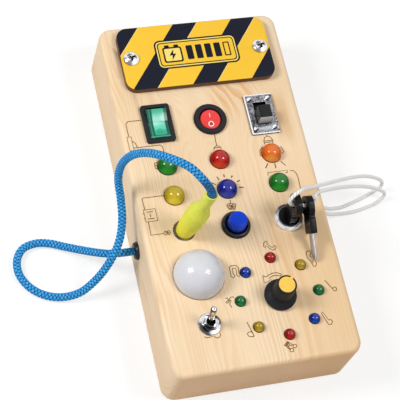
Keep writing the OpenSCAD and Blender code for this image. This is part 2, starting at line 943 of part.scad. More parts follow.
module red_rocker_housing() {
    color([0.12, 0.12, 0.13])
        translate([mid_x, red_rocker_y, 0])
            difference() {
                union() {
                    rod(round_bezel_d - 1, face, face + bezel_h);
                    rod(round_bezel_d, face, face + bezel_h - 0.6);
                    rod(round_body_d, face - rocker_body_h, face + eps);
                }
                rod(round_open_d, round_pivot - round_ball_r - 0.5, face + bezel_h + 1);
                translate([0, 0, round_pivot])
                    rocker_pins(round_open_d / 2 + 1, rocker_pin_r + fit);
            }
}

module red_rocker() {
    color([0.85, 0.1, 0.1])
        translate([mid_x, red_rocker_y, round_pivot])
            rotate([rocker_tilt, 0, 0]) {
                intersection() {
                    sphere(round_ball_r);
                    translate([0, 0, round_top - 5])
                        cube([big, big, 10], center = true);
                }
                rocker_pins(round_open_d / 2 + 0.9, rocker_pin_r);
            }
}

// ---- slide switch ----

module at_rivets() {
    for (sx = [-1, 1], sy = [-1, 1])
        translate([right_x + sx * rivet_x, slide_y + sy * rivet_y, 0])
            children();
}

module slide_plate() {
    color("silver")
        difference() {
            translate([right_x, slide_y, 0])
                plate(slide_plate_w, slide_plate_l, 0.5, face, face + slide_plate_t);
            translate([right_x, slide_open_y, 0])
                plate(slide_open_w, slide_open_l, 0.3, face - 1, face + slide_plate_t + 1);
            at_rivets()
                rod(rivet_d + 2 * fit, face - 1, face + slide_plate_t + 1);
        }
}

module slide_rivets() {
    color("silver")
        at_rivets() {
            rod(rivet_d, face - rivet_l, face + slide_plate_t + rivet_head_t / 2);
            rod(rivet_head_d, face + slide_plate_t, face + slide_plate_t + rivet_head_t);
        }
}

module slide_housing() {
    channel_z = face - slide_carriage_t - 1;
    color("dimgray")
        difference() {
            translate([right_x, slide_y, 0])
                plate(slide_body_w, slide_body_l, 0.5, face - slide_body_h, face);
            translate([right_x, slide_open_y, 0])
                plate(slide_carriage_w + 2 * slack, slide_channel_l, 0.3, channel_z, face + 1);
            at_rivets()
                rod(rivet_d + 2 * fit, face - rivet_l - 0.5, face + 1);
        }
}

module slide_knob() {
    color([0.1, 0.1, 0.1])
        translate([right_x, slide_knob_y, 0]) {
            plate(slide_carriage_w, slide_carriage_l, 0.2, face - slide_carriage_t, face - slack);
            difference() {
                plate(slide_knob_w, slide_knob_l, 0.3, face - 1, face + slide_knob_h);
                for (row = [-2:2])
                    translate([0, row * 1.3, face + slide_knob_h])
                        cube([slide_knob_w + 1, 0.4, 0.5], center = true);
            }
        }
}

// ---- lamps ----

// A lamp with a round dome, a flange behind the front wall and two legs down to the circuit board
module lamp(d) {
    low = inner - lamp_flange_t;
    rod(d, low, face + lamp_rise);
    translate([0, 0, face + lamp_rise])
        sphere(d = d);
    rod(d + 2 * lamp_flange, low, inner);
    for (side = [-1, 1])
        translate([side * 1.27, 0, 0])
            rod(lamp_legs, board_top, low + 1);
}

module large_lamp(x, y, tint) {
    color(tint)
        translate([x, y, 0])
            lamp(lamp_d);
}

module lamp_green_left() {
    large_lamp(left_x, lamp_row_a_y, "green");
}

module lamp_red() {
    large_lamp(mid_x, lamp_row_a_y, "red");
}

module lamp_orange() {
    large_lamp(right_x, lamp_row_a_y, "orange");
}

module lamp_yellow() {
    large_lamp(left_x, lamp_row_b_y, "gold");
}

module lamp_blue() {
    large_lamp(mid_x, lamp_row_b_y, "blue");
}

module lamp_green_right() {
    large_lamp(right_x, lamp_row_b_y, "green");
}

// Every colour comes twice, on opposite sides of the ring
module ring_lamps(first, tint) {
    color(tint)
        for (step = [first, first + ring_steps / 2])
            at_ring(step)
                lamp(small_lamp_d);
}

module dome_lens() {
    low = inner - dome_flange_t;
    color("white")
        translate([dome_x, dome_y, 0])
            difference() {
                union() {
                    sphere_cap(dome_r);
                    rod(2 * dome_r, low, face + eps);
                    rod(2 * dome_flange_r, low, inner);
                }
                sphere_cap(dome_r - dome_wall);
                rod(2 * (dome_r - dome_wall), low - 1, face + eps);
            }
}

// The upper half of a ball that rests on the front face
module sphere_cap(r) {
    translate([0, 0, face])
        intersection() {
            sphere(r);
            translate([0, 0, r])
                cube(2 * r, center = true);
        }
}

module dome_board() {
    top = inner - dome_flange_t;
    color("whitesmoke")
        translate([dome_x, dome_y, 0]) {
            rod(2 * dome_flange_r - 1, top - board_th, top);
            for (turn = [0:120:240])
                rotate(turn)
                    translate([5, 0, top + 0.5])
                        cube([2.8, 3.5, 1.2], center = true);
        }
}

// ---- push button ----

module button_housing() {
    color([0.12, 0.12, 0.13])
        translate([mid_x, control_row_y, 0])
            difference() {
                union() {
                    translate([0, 0, face])
                        cylinder(d1 = button_bezel_d, d2 = button_bezel_d - 2, h = button_bezel_h);
                    rod(button_barrel_d, button_bottom, face + eps);
                }
                rod(button_recess_d, button_recess_z, face + button_bezel_h + 1);
                rod(button_stem_d + 2 * fit, spring_z0, face);
            }
}

module button_nut() {
    color("dimgray")
        translate([mid_x, control_row_y, 0])
            hex_nut(button_barrel_d + 3, button_barrel_d + 2 * fit, inner - nut_h, inner);
}

module button_spring() {
    wound_r = (spring_d - spring_wire) / 2;
    low = spring_z0 + spring_wire / 2;
    high = button_stem_z - spring_wire / 2 - 0.05;
    steps = 10 * spring_turns;
    helix = [for (i = [0:steps])
        let (a = 36 * i)
            [wound_r * cos(a), wound_r * sin(a), low + (high - low) * i / steps]];
    color("silver")
        translate([mid_x, control_row_y, 0])
            tube(helix, spring_wire, 6, [1, 0, 0]);
}

module button_cap() {
    cap_l = face + button_cap_h - button_cap_z;
    color([0.05, 0.25, 0.8])
        translate([mid_x, control_row_y, 0]) {
            rod(button_stem_d, button_stem_z, button_cap_z + 1);
            translate([0, 0, button_cap_z])
                cylinder(d1 = button_cap_d + 1.3, d2 = button_cap_d, h = cap_l);
        }
}

// ---- toggle switch ----

module toggle_housing() {
    color("silver")
        translate([toggle_x, toggle_y, 0])
            difference() {
                union() {
                    plate(toggle_body_w, toggle_body_l, 0.5, inner - toggle_body_h, inner);
                    rod(toggle_bushing_d, inner - 1, toggle_bushing_top);
                }
                rod(2 * toggle_bore_r, toggle_pivot - 4.5, toggle_bushing_top + 1);
                translate([0, 0, toggle_pivot])
                    rocker_pins(toggle_pin_reach + 0.1, toggle_pin_r + fit);
            }
}

module toggle_washer() {
    color("silver")
        translate([toggle_x, toggle_y, 0])
            difference() {
                rod(toggle_washer_d, face, face + toggle_washer_t);
                rod(toggle_bushing_d + 2 * fit, face - 1, face + toggle_washer_t + 1);
            }
}

module toggle_nut() {
    low = face + toggle_washer_t;
    color("silver")
        translate([toggle_x, toggle_y, 0])
            hex_nut(toggle_nut_af, toggle_bushing_d + 2 * fit, low, low + toggle_nut_h);
}

module toggle_lever() {
    tip_r = toggle_tip_d / 2;
    color("silver")
        translate([toggle_x, toggle_y, toggle_pivot])
            rotate([-toggle_tilt, 0, 0]) {
                sphere(toggle_ball_r);
                rocker_pins(toggle_pin_reach, toggle_pin_r);
                rod(1.8, -3.6, 0);
                cylinder(r1 = tip_r * 0.75, r2 = tip_r, h = toggle_lever_l - tip_r);
                translate([0, 0, toggle_lever_l - tip_r])
                    sphere(tip_r);
            }
}

// ---- rotary knob ----

module pot_housing() {
    color("dimgray")
        translate([ring_x, ring_y, 0])
            difference() {
                union() {
                    rod(pot_d, inner - pot_h, inner);
                    rod(bushing_d, inner - 1, bushing_top);
                }
                rod(shaft_d + 2 * fit, inner - pot_h + 2, bushing_top + 1);
            }
}

module pot_nut() {
    color("silver")
        translate([ring_x, ring_y, 0])
            hex_nut(pot_nut_af, bushing_d + 2 * fit, face, face + pot_nut_h);
}

module pot_shaft() {
    color("silver")
        translate([ring_x, ring_y, 0])
            rod(shaft_d, inner - pot_h + 2.2, face + knob_h - 3);
}

// The bar that runs from the cap's rim over the knob's side and skirt
module pointer_bar(c) {
    bar_r = min(shaft_d / 2 + 0.6, knob_cap_d / 2 - 0.4);
    upper = [bar_r, bushing_top + slack + 1];
    lower = [knob_recess_r + 0.8, face + knob_gap + 1.5];
    rotate(pointer_angle)
        for (bar = [upper, lower])
            translate([bar[0] - c, -pointer_w / 2 - c, bar[1] - c])
                cube([knob_d / 2 - 0.4 - bar[0] + 2 * c, pointer_w + 2 * c, big]);
}

module knob() {
    skirt_h = 2;
    skirt_top = 4.2;
    color([0.12, 0.12, 0.13])
        translate([ring_x, ring_y, 0])
            difference() {
                union() {
                    rod(knob_d, face + knob_gap, face + skirt_h);
                    translate([0, 0, face + skirt_h])
                        cylinder(d1 = knob_d, r2 = knob_body_r, h = skirt_top - skirt_h);
                    translate([0, 0, face + skirt_h])
                        cylinder(r1 = knob_body_r, r2 = knob_top_r, h = knob_h - skirt_h);
                }
                rod(2 * knob_recess_r, face, bushing_top + slack);
                rod(shaft_d + 0.04, face, face + knob_h - 3);
                rod(knob_cap_d + 2 * fit, face + knob_h - cap_t, face + knob_h + 1);
                intersection() {
                    pointer_bar(fit);
                    rod(knob_d + 1, face, face + knob_h + 1);
                }
                for (i = [1:knob_flutes - 1])
                    rotate(pointer_angle + 360 * i / knob_flutes)
                        translate([knob_body_r + flute_r / 2, 0, face + skirt_top + 0.6])
                            cylinder(r = flute_r, h = knob_h);
            }
}

module knob_cap() {
    top = face + knob_h + 0.3;
    color("gold")
        translate([ring_x, ring_y, 0]) {
            rod(knob_cap_d, face + knob_h - cap_t, top);
            intersection() {
                pointer_bar(0);
                union() {
                    translate([0, 0, face])
                        cylinder(r1 = knob_body_r + 0.5, r2 = knob_top_r + 0.2, h = knob_h + 0.3);
                    rod(knob_d - 0.4, face, face + 2.3);
                }
            }
        }
}

// ---- lock and keys ----

module lock_housing() {
    color("silver")
        translate([right_x, control_row_y, 0])
            difference() {
                union() {
                    rod(lock_bezel_d, face, face + lock_bezel_h - lock_chamfer);
                    translate([0, 0, face + lock_bezel_h - lock_chamfer - eps])
                        cylinder(d1 = lock_bezel_d, d2 = lock_bezel_d - 1.6, h = lock_chamfer + eps);
                    rod(lock_barrel_d, lock_bottom, face + eps);
                }
                rod(lock_disc_d + 2 * fit, lock_disc_z, face + lock_bezel_h + 1);
                rod(lock_core_d + 2 * fit, lock_bottom + lock_floor, face + 1);
            }
}

module lock_nut() {
    color("silver")
        translate([right_x, control_row_y, 0])
            hex_nut(lock_barrel_d + 2.6, lock_barrel_d + 2 * fit, inner - nut_h, inner);
}

module lock_core() {
    slot_w = blade_t + 2 * slot_slack;
    slot_l = blade_w + 2 * slot_slack;
    color([0.12, 0.12, 0.13])
        translate([right_x, control_row_y, 0])
            difference() {
                union() {
                    rod(lock_disc_d, lock_disc_z + fit, lock_disc_top);
                    rod(lock_core_d, lock_bottom + lock_floor + 0.1, lock_disc_z + 1);
                }
                translate([-slot_w / 2, -slot_l / 2, lock_bottom + lock_slot_floor])
                    cube([slot_w, slot_l, big]);
            }
}

// Lays an outline drawn in X and Y upright in the plane across X, t thick
module upright(t) {
    rotate([90, 0, 90])
        linear_extrude(t, center = true)
            children();
}

// Key outlines have their origin at the hole in the head
module blade_outline() {
    low = -head_down - blade_l;
    polygon([
        [-blade_w / 2, -blade_root],
        [-blade_w / 2, low + blade_tip],
        [-blade_tip_w / 2, low],
        [blade_tip_w / 2, low],
        [blade_w / 2, low + blade_tip],
        [blade_w / 2, -blade_root],
    ]);
}

module a_blade() {
    color("silver")
        upright(blade_t)
            blade_outline();
}

module a_head() {
    bow_l = 11;
    block_l = 8.4;
    waist_w = head_w - 3.2;
    color([0.1, 0.1, 0.11])
        difference() {
            upright(head_t) {
                translate([0, head_up - bow_l / 2])
                    round_rect(head_w, bow_l, 4.5);
                translate([0, -head_down + block_l / 2])
                    round_rect(head_w - 2, block_l, 1.2);
                translate([-waist_w / 2, -head_down + 1])
                    square([waist_w, head_down]);
            }
            rotate([0, 90, 0])
                cylinder(d = head_hole_d, h = head_t + 1, center = true);
            upright(blade_t)
                translate([-blade_w / 2, -head_down - 1])
                    square([blade_w, head_down + 1 - blade_root]);
        }
}

module at_key() {
    translate([right_x, control_row_y, key_z])
        children();
}

module at_spare_key() {
    translate([spare_x, spare_y, spare_z])
        rotate([-spare_lean, 0, 0])
            children();
}

// ---- plug, jack and cords ----

// The leaning axis of the plug, with its origin in the middle of the front wall
module at_plug() {
    translate([plug_x, plug_y, plug_pivot])
        rotate([0, plug_lean, 0])
            children();
}

module jack_socket() {
    color([0.12, 0.12, 0.13])
        difference() {
            union() {
                translate([plug_x, plug_y, 0])
                    rod(jack_flange_d, inner - jack_flange_t, inner);
                at_plug()
                    rod(jack_d, jack_low, -front_wall / 2 - jack_clear);
            }
            at_plug()
                rod(pin_d + 2 * fit, jack_low + jack_floor, 5);
            translate([plug_x, plug_y, 0])
                rod(plug_hole_d, inner, face);
        }
}

module plug_handle() {
    r = plug_d / 2;
    color([0.88, 0.9, 0.2])
        at_plug()
            difference() {
                union() {
                    translate([0, 0, handle_low])
                        cylinder(r1 = r - 0.7, r2 = r, h = 12);
                    rod(plug_d, handle_low + 12, handle_mid);
                    translate([0, 0, handle_mid])
                        cylinder(r1 = r, r2 = neck_d / 2, h = handle_shoulder - handle_mid);
                    translate([0, 0, handle_shoulder])
                        cylinder(d1 = neck_d, d2 = tail_d, h = handle_top - handle_shoulder);
                }
                rod(cord_d + 2 * slack, tail_floor, handle_top + 1);
                rod(pin_d + 0.04, handle_low - 1, handle_low + 10);
            }
}

module plug_pin() {
    color("silver")
        at_plug() {
            rod(pin_d, handle_low - pin_l + pin_d / 2, handle_low + 10);
            translate([0, 0, handle_low - pin_l + pin_d / 2])
                sphere(d = pin_d);
        }
}

// A closed strain relief through a side wall, drawn along +Z from the outside of the wall inwards
module grommet() {
    color([0.1, 0.1, 0.11]) {
        translate([0, 0, -grommet_flange_t])
            cylinder(d1 = grommet_d - 1.6, d2 = grommet_d, h = grommet_flange_t);
        rod(grommet_neck_d, -eps, side_wall + eps);
        rod(grommet_d, side_wall, side_wall + grommet_inner_t);
    }
}

module cord_grommet() {
    translate([-board_w / 2, cord_y, grommet_z])
        rotate([0, 90, 0])
            grommet();
}

module string_grommet() {
    translate([board_w / 2, string_y, grommet_z])
        rotate([0, -90, 0])
            grommet();
}

module plug_cord() {
    tail = [cord_end_x, plug_y, cord_end_z];
    lead_out = tail + 1.8 * [sin(plug_lean), 0, cos(plug_lean)];
    color([0.05, 0.45, 0.9])
        tube(concat(cord_route, [lead_out, tail]), cord_d, 10, [0, 1, 0]);
}

module key_string() {
    color("white")
        tube(string_route, string_d, 8, [0, 1, 0]);
}

wood_body();
back_panel();
back_screws();
battery_cover();
cover_screws();
cover_inserts();
battery_holder();
battery_cells();
battery_contacts();
main_board();
board_spacers();
board_screws();
switch_terminals();
green_rocker_housing();
green_rocker();
red_rocker_housing();
red_rocker();
slide_plate();
slide_rivets();
slide_housing();
slide_knob();
lamp_green_left();
lamp_red();
lamp_orange();
lamp_yellow();
lamp_blue();
lamp_green_right();
ring_lamps(0, "red");  // ring_lamps_red
ring_lamps(1, "gold");  // ring_lamps_yellow
ring_lamps(2, "green");  // ring_lamps_green
ring_lamps(3, "blue");  // ring_lamps_blue
button_housing();
button_nut();
button_spring();
button_cap();
dome_lens();
dome_board();
toggle_housing();
toggle_washer();
toggle_nut();
toggle_lever();
pot_housing();
pot_nut();
pot_shaft();
knob();
knob_cap();
lock_housing();
lock_nut();
lock_core();
at_key() a_blade();  // key_blade
at_key() a_head();  // key_head
at_spare_key() a_blade();  // spare_key_blade
at_spare_key() a_head();  // spare_key_head
string_grommet();
key_string();
jack_socket();
plug_handle();
plug_pin();
cord_grommet();
plug_cord();
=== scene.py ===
import json
import math
import bpy
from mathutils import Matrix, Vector

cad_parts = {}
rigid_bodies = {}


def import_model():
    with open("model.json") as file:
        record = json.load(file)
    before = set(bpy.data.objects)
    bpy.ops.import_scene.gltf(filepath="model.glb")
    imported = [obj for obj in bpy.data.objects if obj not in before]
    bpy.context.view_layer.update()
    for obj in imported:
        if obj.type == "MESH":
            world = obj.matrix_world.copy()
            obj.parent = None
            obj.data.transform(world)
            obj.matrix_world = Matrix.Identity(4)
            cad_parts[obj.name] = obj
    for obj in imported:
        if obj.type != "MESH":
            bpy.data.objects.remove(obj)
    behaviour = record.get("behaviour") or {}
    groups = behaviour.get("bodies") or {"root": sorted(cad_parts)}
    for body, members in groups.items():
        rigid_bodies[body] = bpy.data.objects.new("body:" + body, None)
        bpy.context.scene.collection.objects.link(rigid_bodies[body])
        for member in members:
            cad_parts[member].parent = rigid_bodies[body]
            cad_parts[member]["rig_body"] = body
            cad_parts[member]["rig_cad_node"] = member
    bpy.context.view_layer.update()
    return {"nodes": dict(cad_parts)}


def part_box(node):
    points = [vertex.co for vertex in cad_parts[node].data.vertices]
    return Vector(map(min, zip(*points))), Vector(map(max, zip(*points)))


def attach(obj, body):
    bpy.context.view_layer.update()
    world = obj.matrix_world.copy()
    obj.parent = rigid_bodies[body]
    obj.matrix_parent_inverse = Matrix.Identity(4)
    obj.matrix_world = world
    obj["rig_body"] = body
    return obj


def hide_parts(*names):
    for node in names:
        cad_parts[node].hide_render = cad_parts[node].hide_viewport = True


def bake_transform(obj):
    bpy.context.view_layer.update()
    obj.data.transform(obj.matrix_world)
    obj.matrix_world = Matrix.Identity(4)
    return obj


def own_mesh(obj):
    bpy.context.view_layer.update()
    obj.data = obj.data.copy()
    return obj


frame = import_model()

nodes = frame["nodes"]
faceHeight = 35.0  # the block's front face, millimetres above the floor

# the view of the photograph
cameraView = {
    "place": (-0.21252935, -0.29227716, 0.71361183),
    "turn": (24.983, -10.7716, -12.6611),  # degrees
    "lens": 132.637,
    "sensor": 36.0,
}


def link(obj):
    bpy.context.collection.objects.link(obj)
    return obj


def setCamera():
    data = bpy.data.cameras.new("photoCamera")
    data.lens = cameraView["lens"]
    data.sensor_width = cameraView["sensor"]
    data.clip_start = 0.05
    camera = link(bpy.data.objects.new("photoCamera", data))
    camera.location = cameraView["place"]
    camera.rotation_euler = [math.radians(a) for a in cameraView["turn"]]
    bpy.context.scene.camera = camera


setCamera()
print("camera placed")


# tools that every piece uses

def clearSelection():
    for obj in bpy.context.selected_objects:
        obj.select_set(False)


def pick(obj):
    clearSelection()
    obj.select_set(True)
    bpy.context.view_layer.objects.active = obj


def smooth(obj, angle):
    pick(obj)
    bpy.ops.object.shade_smooth_by_angle(angle=math.radians(angle))
    clearSelection()


def finishWith(obj, finish):
    obj.data.materials.clear()
    obj.data.materials.append(finish.material)


easedEdges = {
    "doubles": 0.000002,  # corners this close are one, in metres
    "from": 28,  # sharper edges than this many degrees are eased
}


def polish(node, name, bevel=0.0, segments=3, angle=35, flatten=0.6):
    # a merged copy of a CAD node that then stands for it, its edges eased by bevel millimetres at most
    piece = nodes[node].copy()
    piece.data = nodes[node].data.copy()
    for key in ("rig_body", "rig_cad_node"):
        if key in piece:
            del piece[key]
    piece.parent = None
    piece.name = piece.data.name = name
    pick(link(piece))
    bpy.ops.object.mode_set(mode="EDIT")
    bpy.ops.mesh.select_all(action="SELECT")
    bpy.ops.mesh.remove_doubles(threshold=easedEdges["doubles"])
    if flatten:
        bpy.ops.mesh.dissolve_limited(angle_limit=math.radians(flatten))
    bpy.ops.object.mode_set(mode="OBJECT")
    if bevel:
        ease = piece.modifiers.new("easedEdges", "BEVEL")
        ease.width = bevel / 1000
        ease.segments = segments
        ease.limit_method = "ANGLE"
        ease.angle_limit = math.radians(easedEdges["from"])
        bpy.ops.object.modifier_apply(modifier="easedEdges")
    smooth(piece, angle)
    return piece


def settle(piece, body, slot, *replaced):
    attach(piece, body)
    if replaced:
        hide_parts(*replaced)


def dress(node, name, finish, body, slot, *shape, **more):
    piece = polish(node, name, *shape, **more)
    finishWith(piece, finish)
    settle(piece, body, slot, node)


# shader maths

def operator(kind, turned=False):  # what a Python operator builds
    def build(wire, other=None):
        return wire.nodes.maths(kind, other, wire) if turned else wire.nodes.maths(kind, wire, other)
    return build


class Wire:  # an output socket that adds and multiplies like a number
    def __init__(self, nodes, socket):
        self.nodes = nodes
        self.socket = socket

    __add__, __radd__ = operator("ADD"), operator("ADD", True)
    __sub__, __rsub__ = operator("SUBTRACT"), operator("SUBTRACT", True)
    __mul__, __rmul__ = operator("MULTIPLY"), operator("MULTIPLY", True)
    __truediv__, __mod__ = operator("DIVIDE"), operator("FLOORED_MODULO")
    __gt__, __lt__ = operator("GREATER_THAN"), operator("LESS_THAN")
    __abs__, root, sine, floor = (operator(kind) for kind in ("ABSOLUTE", "SQRT", "SINE", "FLOOR"))
    least, most, bearing = operator("MINIMUM"), operator("MAXIMUM"), operator("ARCTAN2")


class Nodes:  # the node tree of a material or of the world
    def __init__(self, tree):
        self.tree = tree

    def add(self, kind, settings=None, inputs=None, output=0):
        node = self.tree.nodes.new(kind)
        for name, value in (settings or {}).items():
            setattr(node, name, value)
        for key, value in (inputs or {}).items():
            self.feed(node.inputs[key], value)
        return Wire(self, node.outputs[output])

    def feed(self, socket, value):
        if isinstance(value, Wire):
            self.tree.links.new(value.socket, socket)
        elif socket.type == "RGBA":
            socket.default_value = (*value, 1.0)
        else:
            socket.default_value = value

    def maths(self, operation, first, second=None):
        values = {0: first} if second is None else {0: first, 1: second}
        return self.add("ShaderNodeMath", {"operation": operation}, values)

    def outputs(self, kind, *names, **inputs):  # several outputs of one node
        node = self.add(kind, {}, inputs).socket.node
        return [Wire(self, node.outputs[name]) for name in names]


class Finish(Nodes):  # one procedural material, with places in millimetres
    sockets = {
        "colour": "Base Color", "roughness": "Roughness", "metallic": "Metallic", "coat": "Coat Weight",
        "coatRoughness": "Coat Roughness", "sheen": "Sheen Weight", "sheenRoughness": "Sheen Roughness",
        "specular": "Specular IOR Level",
    }

    def __init__(self, name):
        self.material = bpy.data.materials.new(name)
        self.material.use_nodes = True
        super().__init__(self.material.node_tree)
        self.shader = self.tree.nodes["Principled BSDF"]
        place = self.add("ShaderNodeTexCoord", output="Object")
        self.place = self.add("ShaderNodeVectorMath", {"operation": "SCALE"}, {0: place, "Scale": 1000.0})
        self.x, self.y, self.z = self.outputs("ShaderNodeSeparateXYZ", "X", "Y", "Z", Vector=self.place)

    def around(self, middle):  # x and y from an upright axis
        return self.x - middle[0], self.y - middle[1]

    def mix(self, factor, first, second):
        return self.add("ShaderNodeMix", {"data_type": "RGBA"}, {0: factor, 6: first, 7: second}, 2)

    def paint(self, mask, colour):  # lays a colour over the base so far
        self.base = self.mix(mask, self.base, colour)

    def ramp(self, factor, low=0.3, high=0.7, atLow=0.0, atHigh=1.0, easing="LINEAR"):
        # from atLow at low to atHigh at high, the usual span of a noise unless they are given
        return self.add("ShaderNodeMapRange", {"interpolation_type": easing},
                        {0: factor, 1: low, 2: high, 3: atLow, 4: atHigh})

    def soft(self, factor, low, high, atLow=0.0, atHigh=1.0):
        return self.ramp(factor, low, high, atLow, atHigh, "SMOOTHSTEP")

    def noise(self, scale, detail=2.0, roughness=0.5, place=None, distortion=0.0):
        return self.add("ShaderNodeTexNoise", {},
                        {"Vector": place or self.place, "Scale": scale, "Detail": detail,
                         "Roughness": roughness, "Distortion": distortion})

    def streaks(self, sx, sy, sz, detail=2.0, roughness=0.5, shift=(0.0, 0.0, 0.0)):  # noise drawn out
        drawn = self.add("ShaderNodeMapping", {},
                         {"Vector": self.place, "Location": shift, "Scale": (sx, sy, sz)})
        return self.noise(1.0, detail, roughness, drawn)

    def set(self, **values):
        for key, value in values.items():
            self.feed(self.shader.inputs[self.sockets[key]], value)

    def rough(self, cloud, least, most):
        self.set(roughness=self.ramp(cloud, atLow=least, atHigh=most))

    def bump(self, height, depth):  # depth in millimetres
        made = self.add("ShaderNodeBump", {}, {"Height": height, "Distance": depth / 1000.0, "Strength": 1.0})
        self.tree.links.new(made.socket, self.shader.inputs["Normal"])


def away(x, y):  # distance from an axis
    return (x * x + y * y).root()


def srgb(red, green, blue):  # a colour as read off a photograph, 0 to 255
    def channel(value):
        value = value / 255.0
        return value / 12.92 if value <= 0.04045 else ((value + 0.055) / 1.055) ** 2.4
    return (channel(red), channel(green), channel(blue))


def shade(colour, factor):
    return tuple(min(1.0, c * factor) for c in colour)


def plastic(name, colour, roughness, grain, grainScale=4.0, coat=0.0, spread=0.12, specular=0.3):
    f = Finish(name)
    f.base = f.mix(f.ramp(f.noise(0.22, 3.0)), shade(colour, 1 - spread), shade(colour, 1 + spread))
    f.set(colour=f.base, coat=coat, coatRoughness=0.08, specular=specular)
    f.rough(f.noise(0.8, 3.0), roughness - 0.05, roughness + 0.06)
    f.bump(f.noise(grainScale, 2.0), grain)
    return f


def metal(name, colour, roughness, brushed=(3.0, 3.0, 3.0), spread=0.08, tarnish=0.0, scratch=0.004):
    f = Finish(name)
    f.base = f.mix(f.ramp(f.noise(0.35, 4.0, 0.6)), shade(colour, 1 - spread),
                   shade(colour, 1 + spread * 0.5))
    f.paint(f.ramp(f.noise(1.1, 5.0, 0.7), 0.55, 0.75) * tarnish, shade(colour, 0.45))
    lines = f.streaks(*brushed, 3.0, 0.6)
    f.set(colour=f.base, metallic=1.0,
          roughness=f.ramp(lines, 0.25, 0.75, roughness * 0.75, roughness * 1.35))
    f.bump(lines, scratch)
    return f


# plug and grommets, made before the cords
plugGrip = {
    "foot": (-28.0, -22.2, 32.0),  # where the grip's axis passes the middle of the front wall
    "lean": math.radians(8),
    "swell": 0.09,  # how much wider the grip is than the CAD handle
    "from": (5.0, 9.0),  # heights between which the swell begins
    "to": (26.0, 34.0),  # and ends
}


def plugFinish():
    f = Finish("plugYellow")
    cloud = f.noise(0.25, 3.0, 0.6)
    low = f.mix(f.ramp(cloud), srgb(232, 226, 52), srgb(242, 236, 72))
    high = f.mix(f.ramp(cloud), srgb(218, 224, 70), srgb(230, 234, 96))
    f.base = f.mix(f.ramp(f.z, 42.0, 66.0), low, high)
    f.set(colour=f.base, coat=0.05, coatRoughness=0.3, specular=0.3)
    f.rough(cloud, 0.42, 0.55)
    f.bump(f.noise(0.35, 3.0, 0.5), 0.35)
    return f


def makePlug():
    rubber = plastic("grommetBlack", srgb(24, 24, 27), 0.34, 0.006, specular=0.28)
    handle = polish("plug_handle", "plug_grip", 0.4, angle=40, flatten=0.3)
    foot = Vector(plugGrip["foot"])
    axis = Vector((math.sin(plugGrip["lean"]), 0, math.cos(plugGrip["lean"])))
    (start, full), (last, end) = plugGrip["from"], plugGrip["to"]
    for vertex in handle.data.vertices:
        out = vertex.co * 1000 - foot
        height = out.dot(axis)
        side = out - axis * height
        rise = min(1.0, max(0.0, (height - start) / (full - start)))
        rise *= min(1.0, max(0.0, (end - height) / (end - last)))
        vertex.co += side * plugGrip["swell"] * rise / 1000
    finishWith(handle, plugFinish())
    settle(handle, "plug_body", "plug_yellow", "plug_handle")
    dress("cord_grommet", "lead_grommet", rubber, "board", "black_plastic", 0.5)
    dress("string_grommet", "string_outlet", rubber, "board", "black_plastic", 0.5)


makePlug()
print("plug and grommets made")


# the braided lead of the plug, and the string of the keys
braidedCord = {
    "exit": (-0.052, -0.023, 0.0175),
    "diameter": 0.0044,
    "route": [  # millimetres, as the CAD tube runs
        (-52, -23, 17.5), (-58, -23, 17.5), (-64.5, -22, 16), (-71.5, -18, 11), (-78, -13.5, 6),
        (-85, -9.5, 3), (-92, -6.5, 2.3), (-99, -5.5, 2.3), (-106, -7.5, 2.3), (-110, -13, 2.3),
        (-110.5, -21, 2.3), (-106.5, -29, 2.3), (-99.5, -34.5, 2.3), (-91, -37, 2.4), (-82, -37, 5),
        (-74, -34, 11.5), (-67, -29, 20), (-61, -21, 27), (-58, -11.5, 32), (-57.5, -1.5, 37.5),
        (-58.5, 6, 46), (-57.5, 9, 57), (-54, 8, 68), (-48.5, 3, 79), (-41, -5, 87.5), (-33, -12.5, 90.5),
        (-28, -18, 88.5), (-24, -21, 83.5), (-21.56, -22.2, 77.85), (-21.81, -22.2, 76.07)],
    "strands": 4,  # strands each way round
    "pitch": 7.6,  # length of one turn of a strand
    "relief": 0.4,  # depth between the strands
    "sides": 48,
    "step": 0.3,  # between the rings of the sweep
}

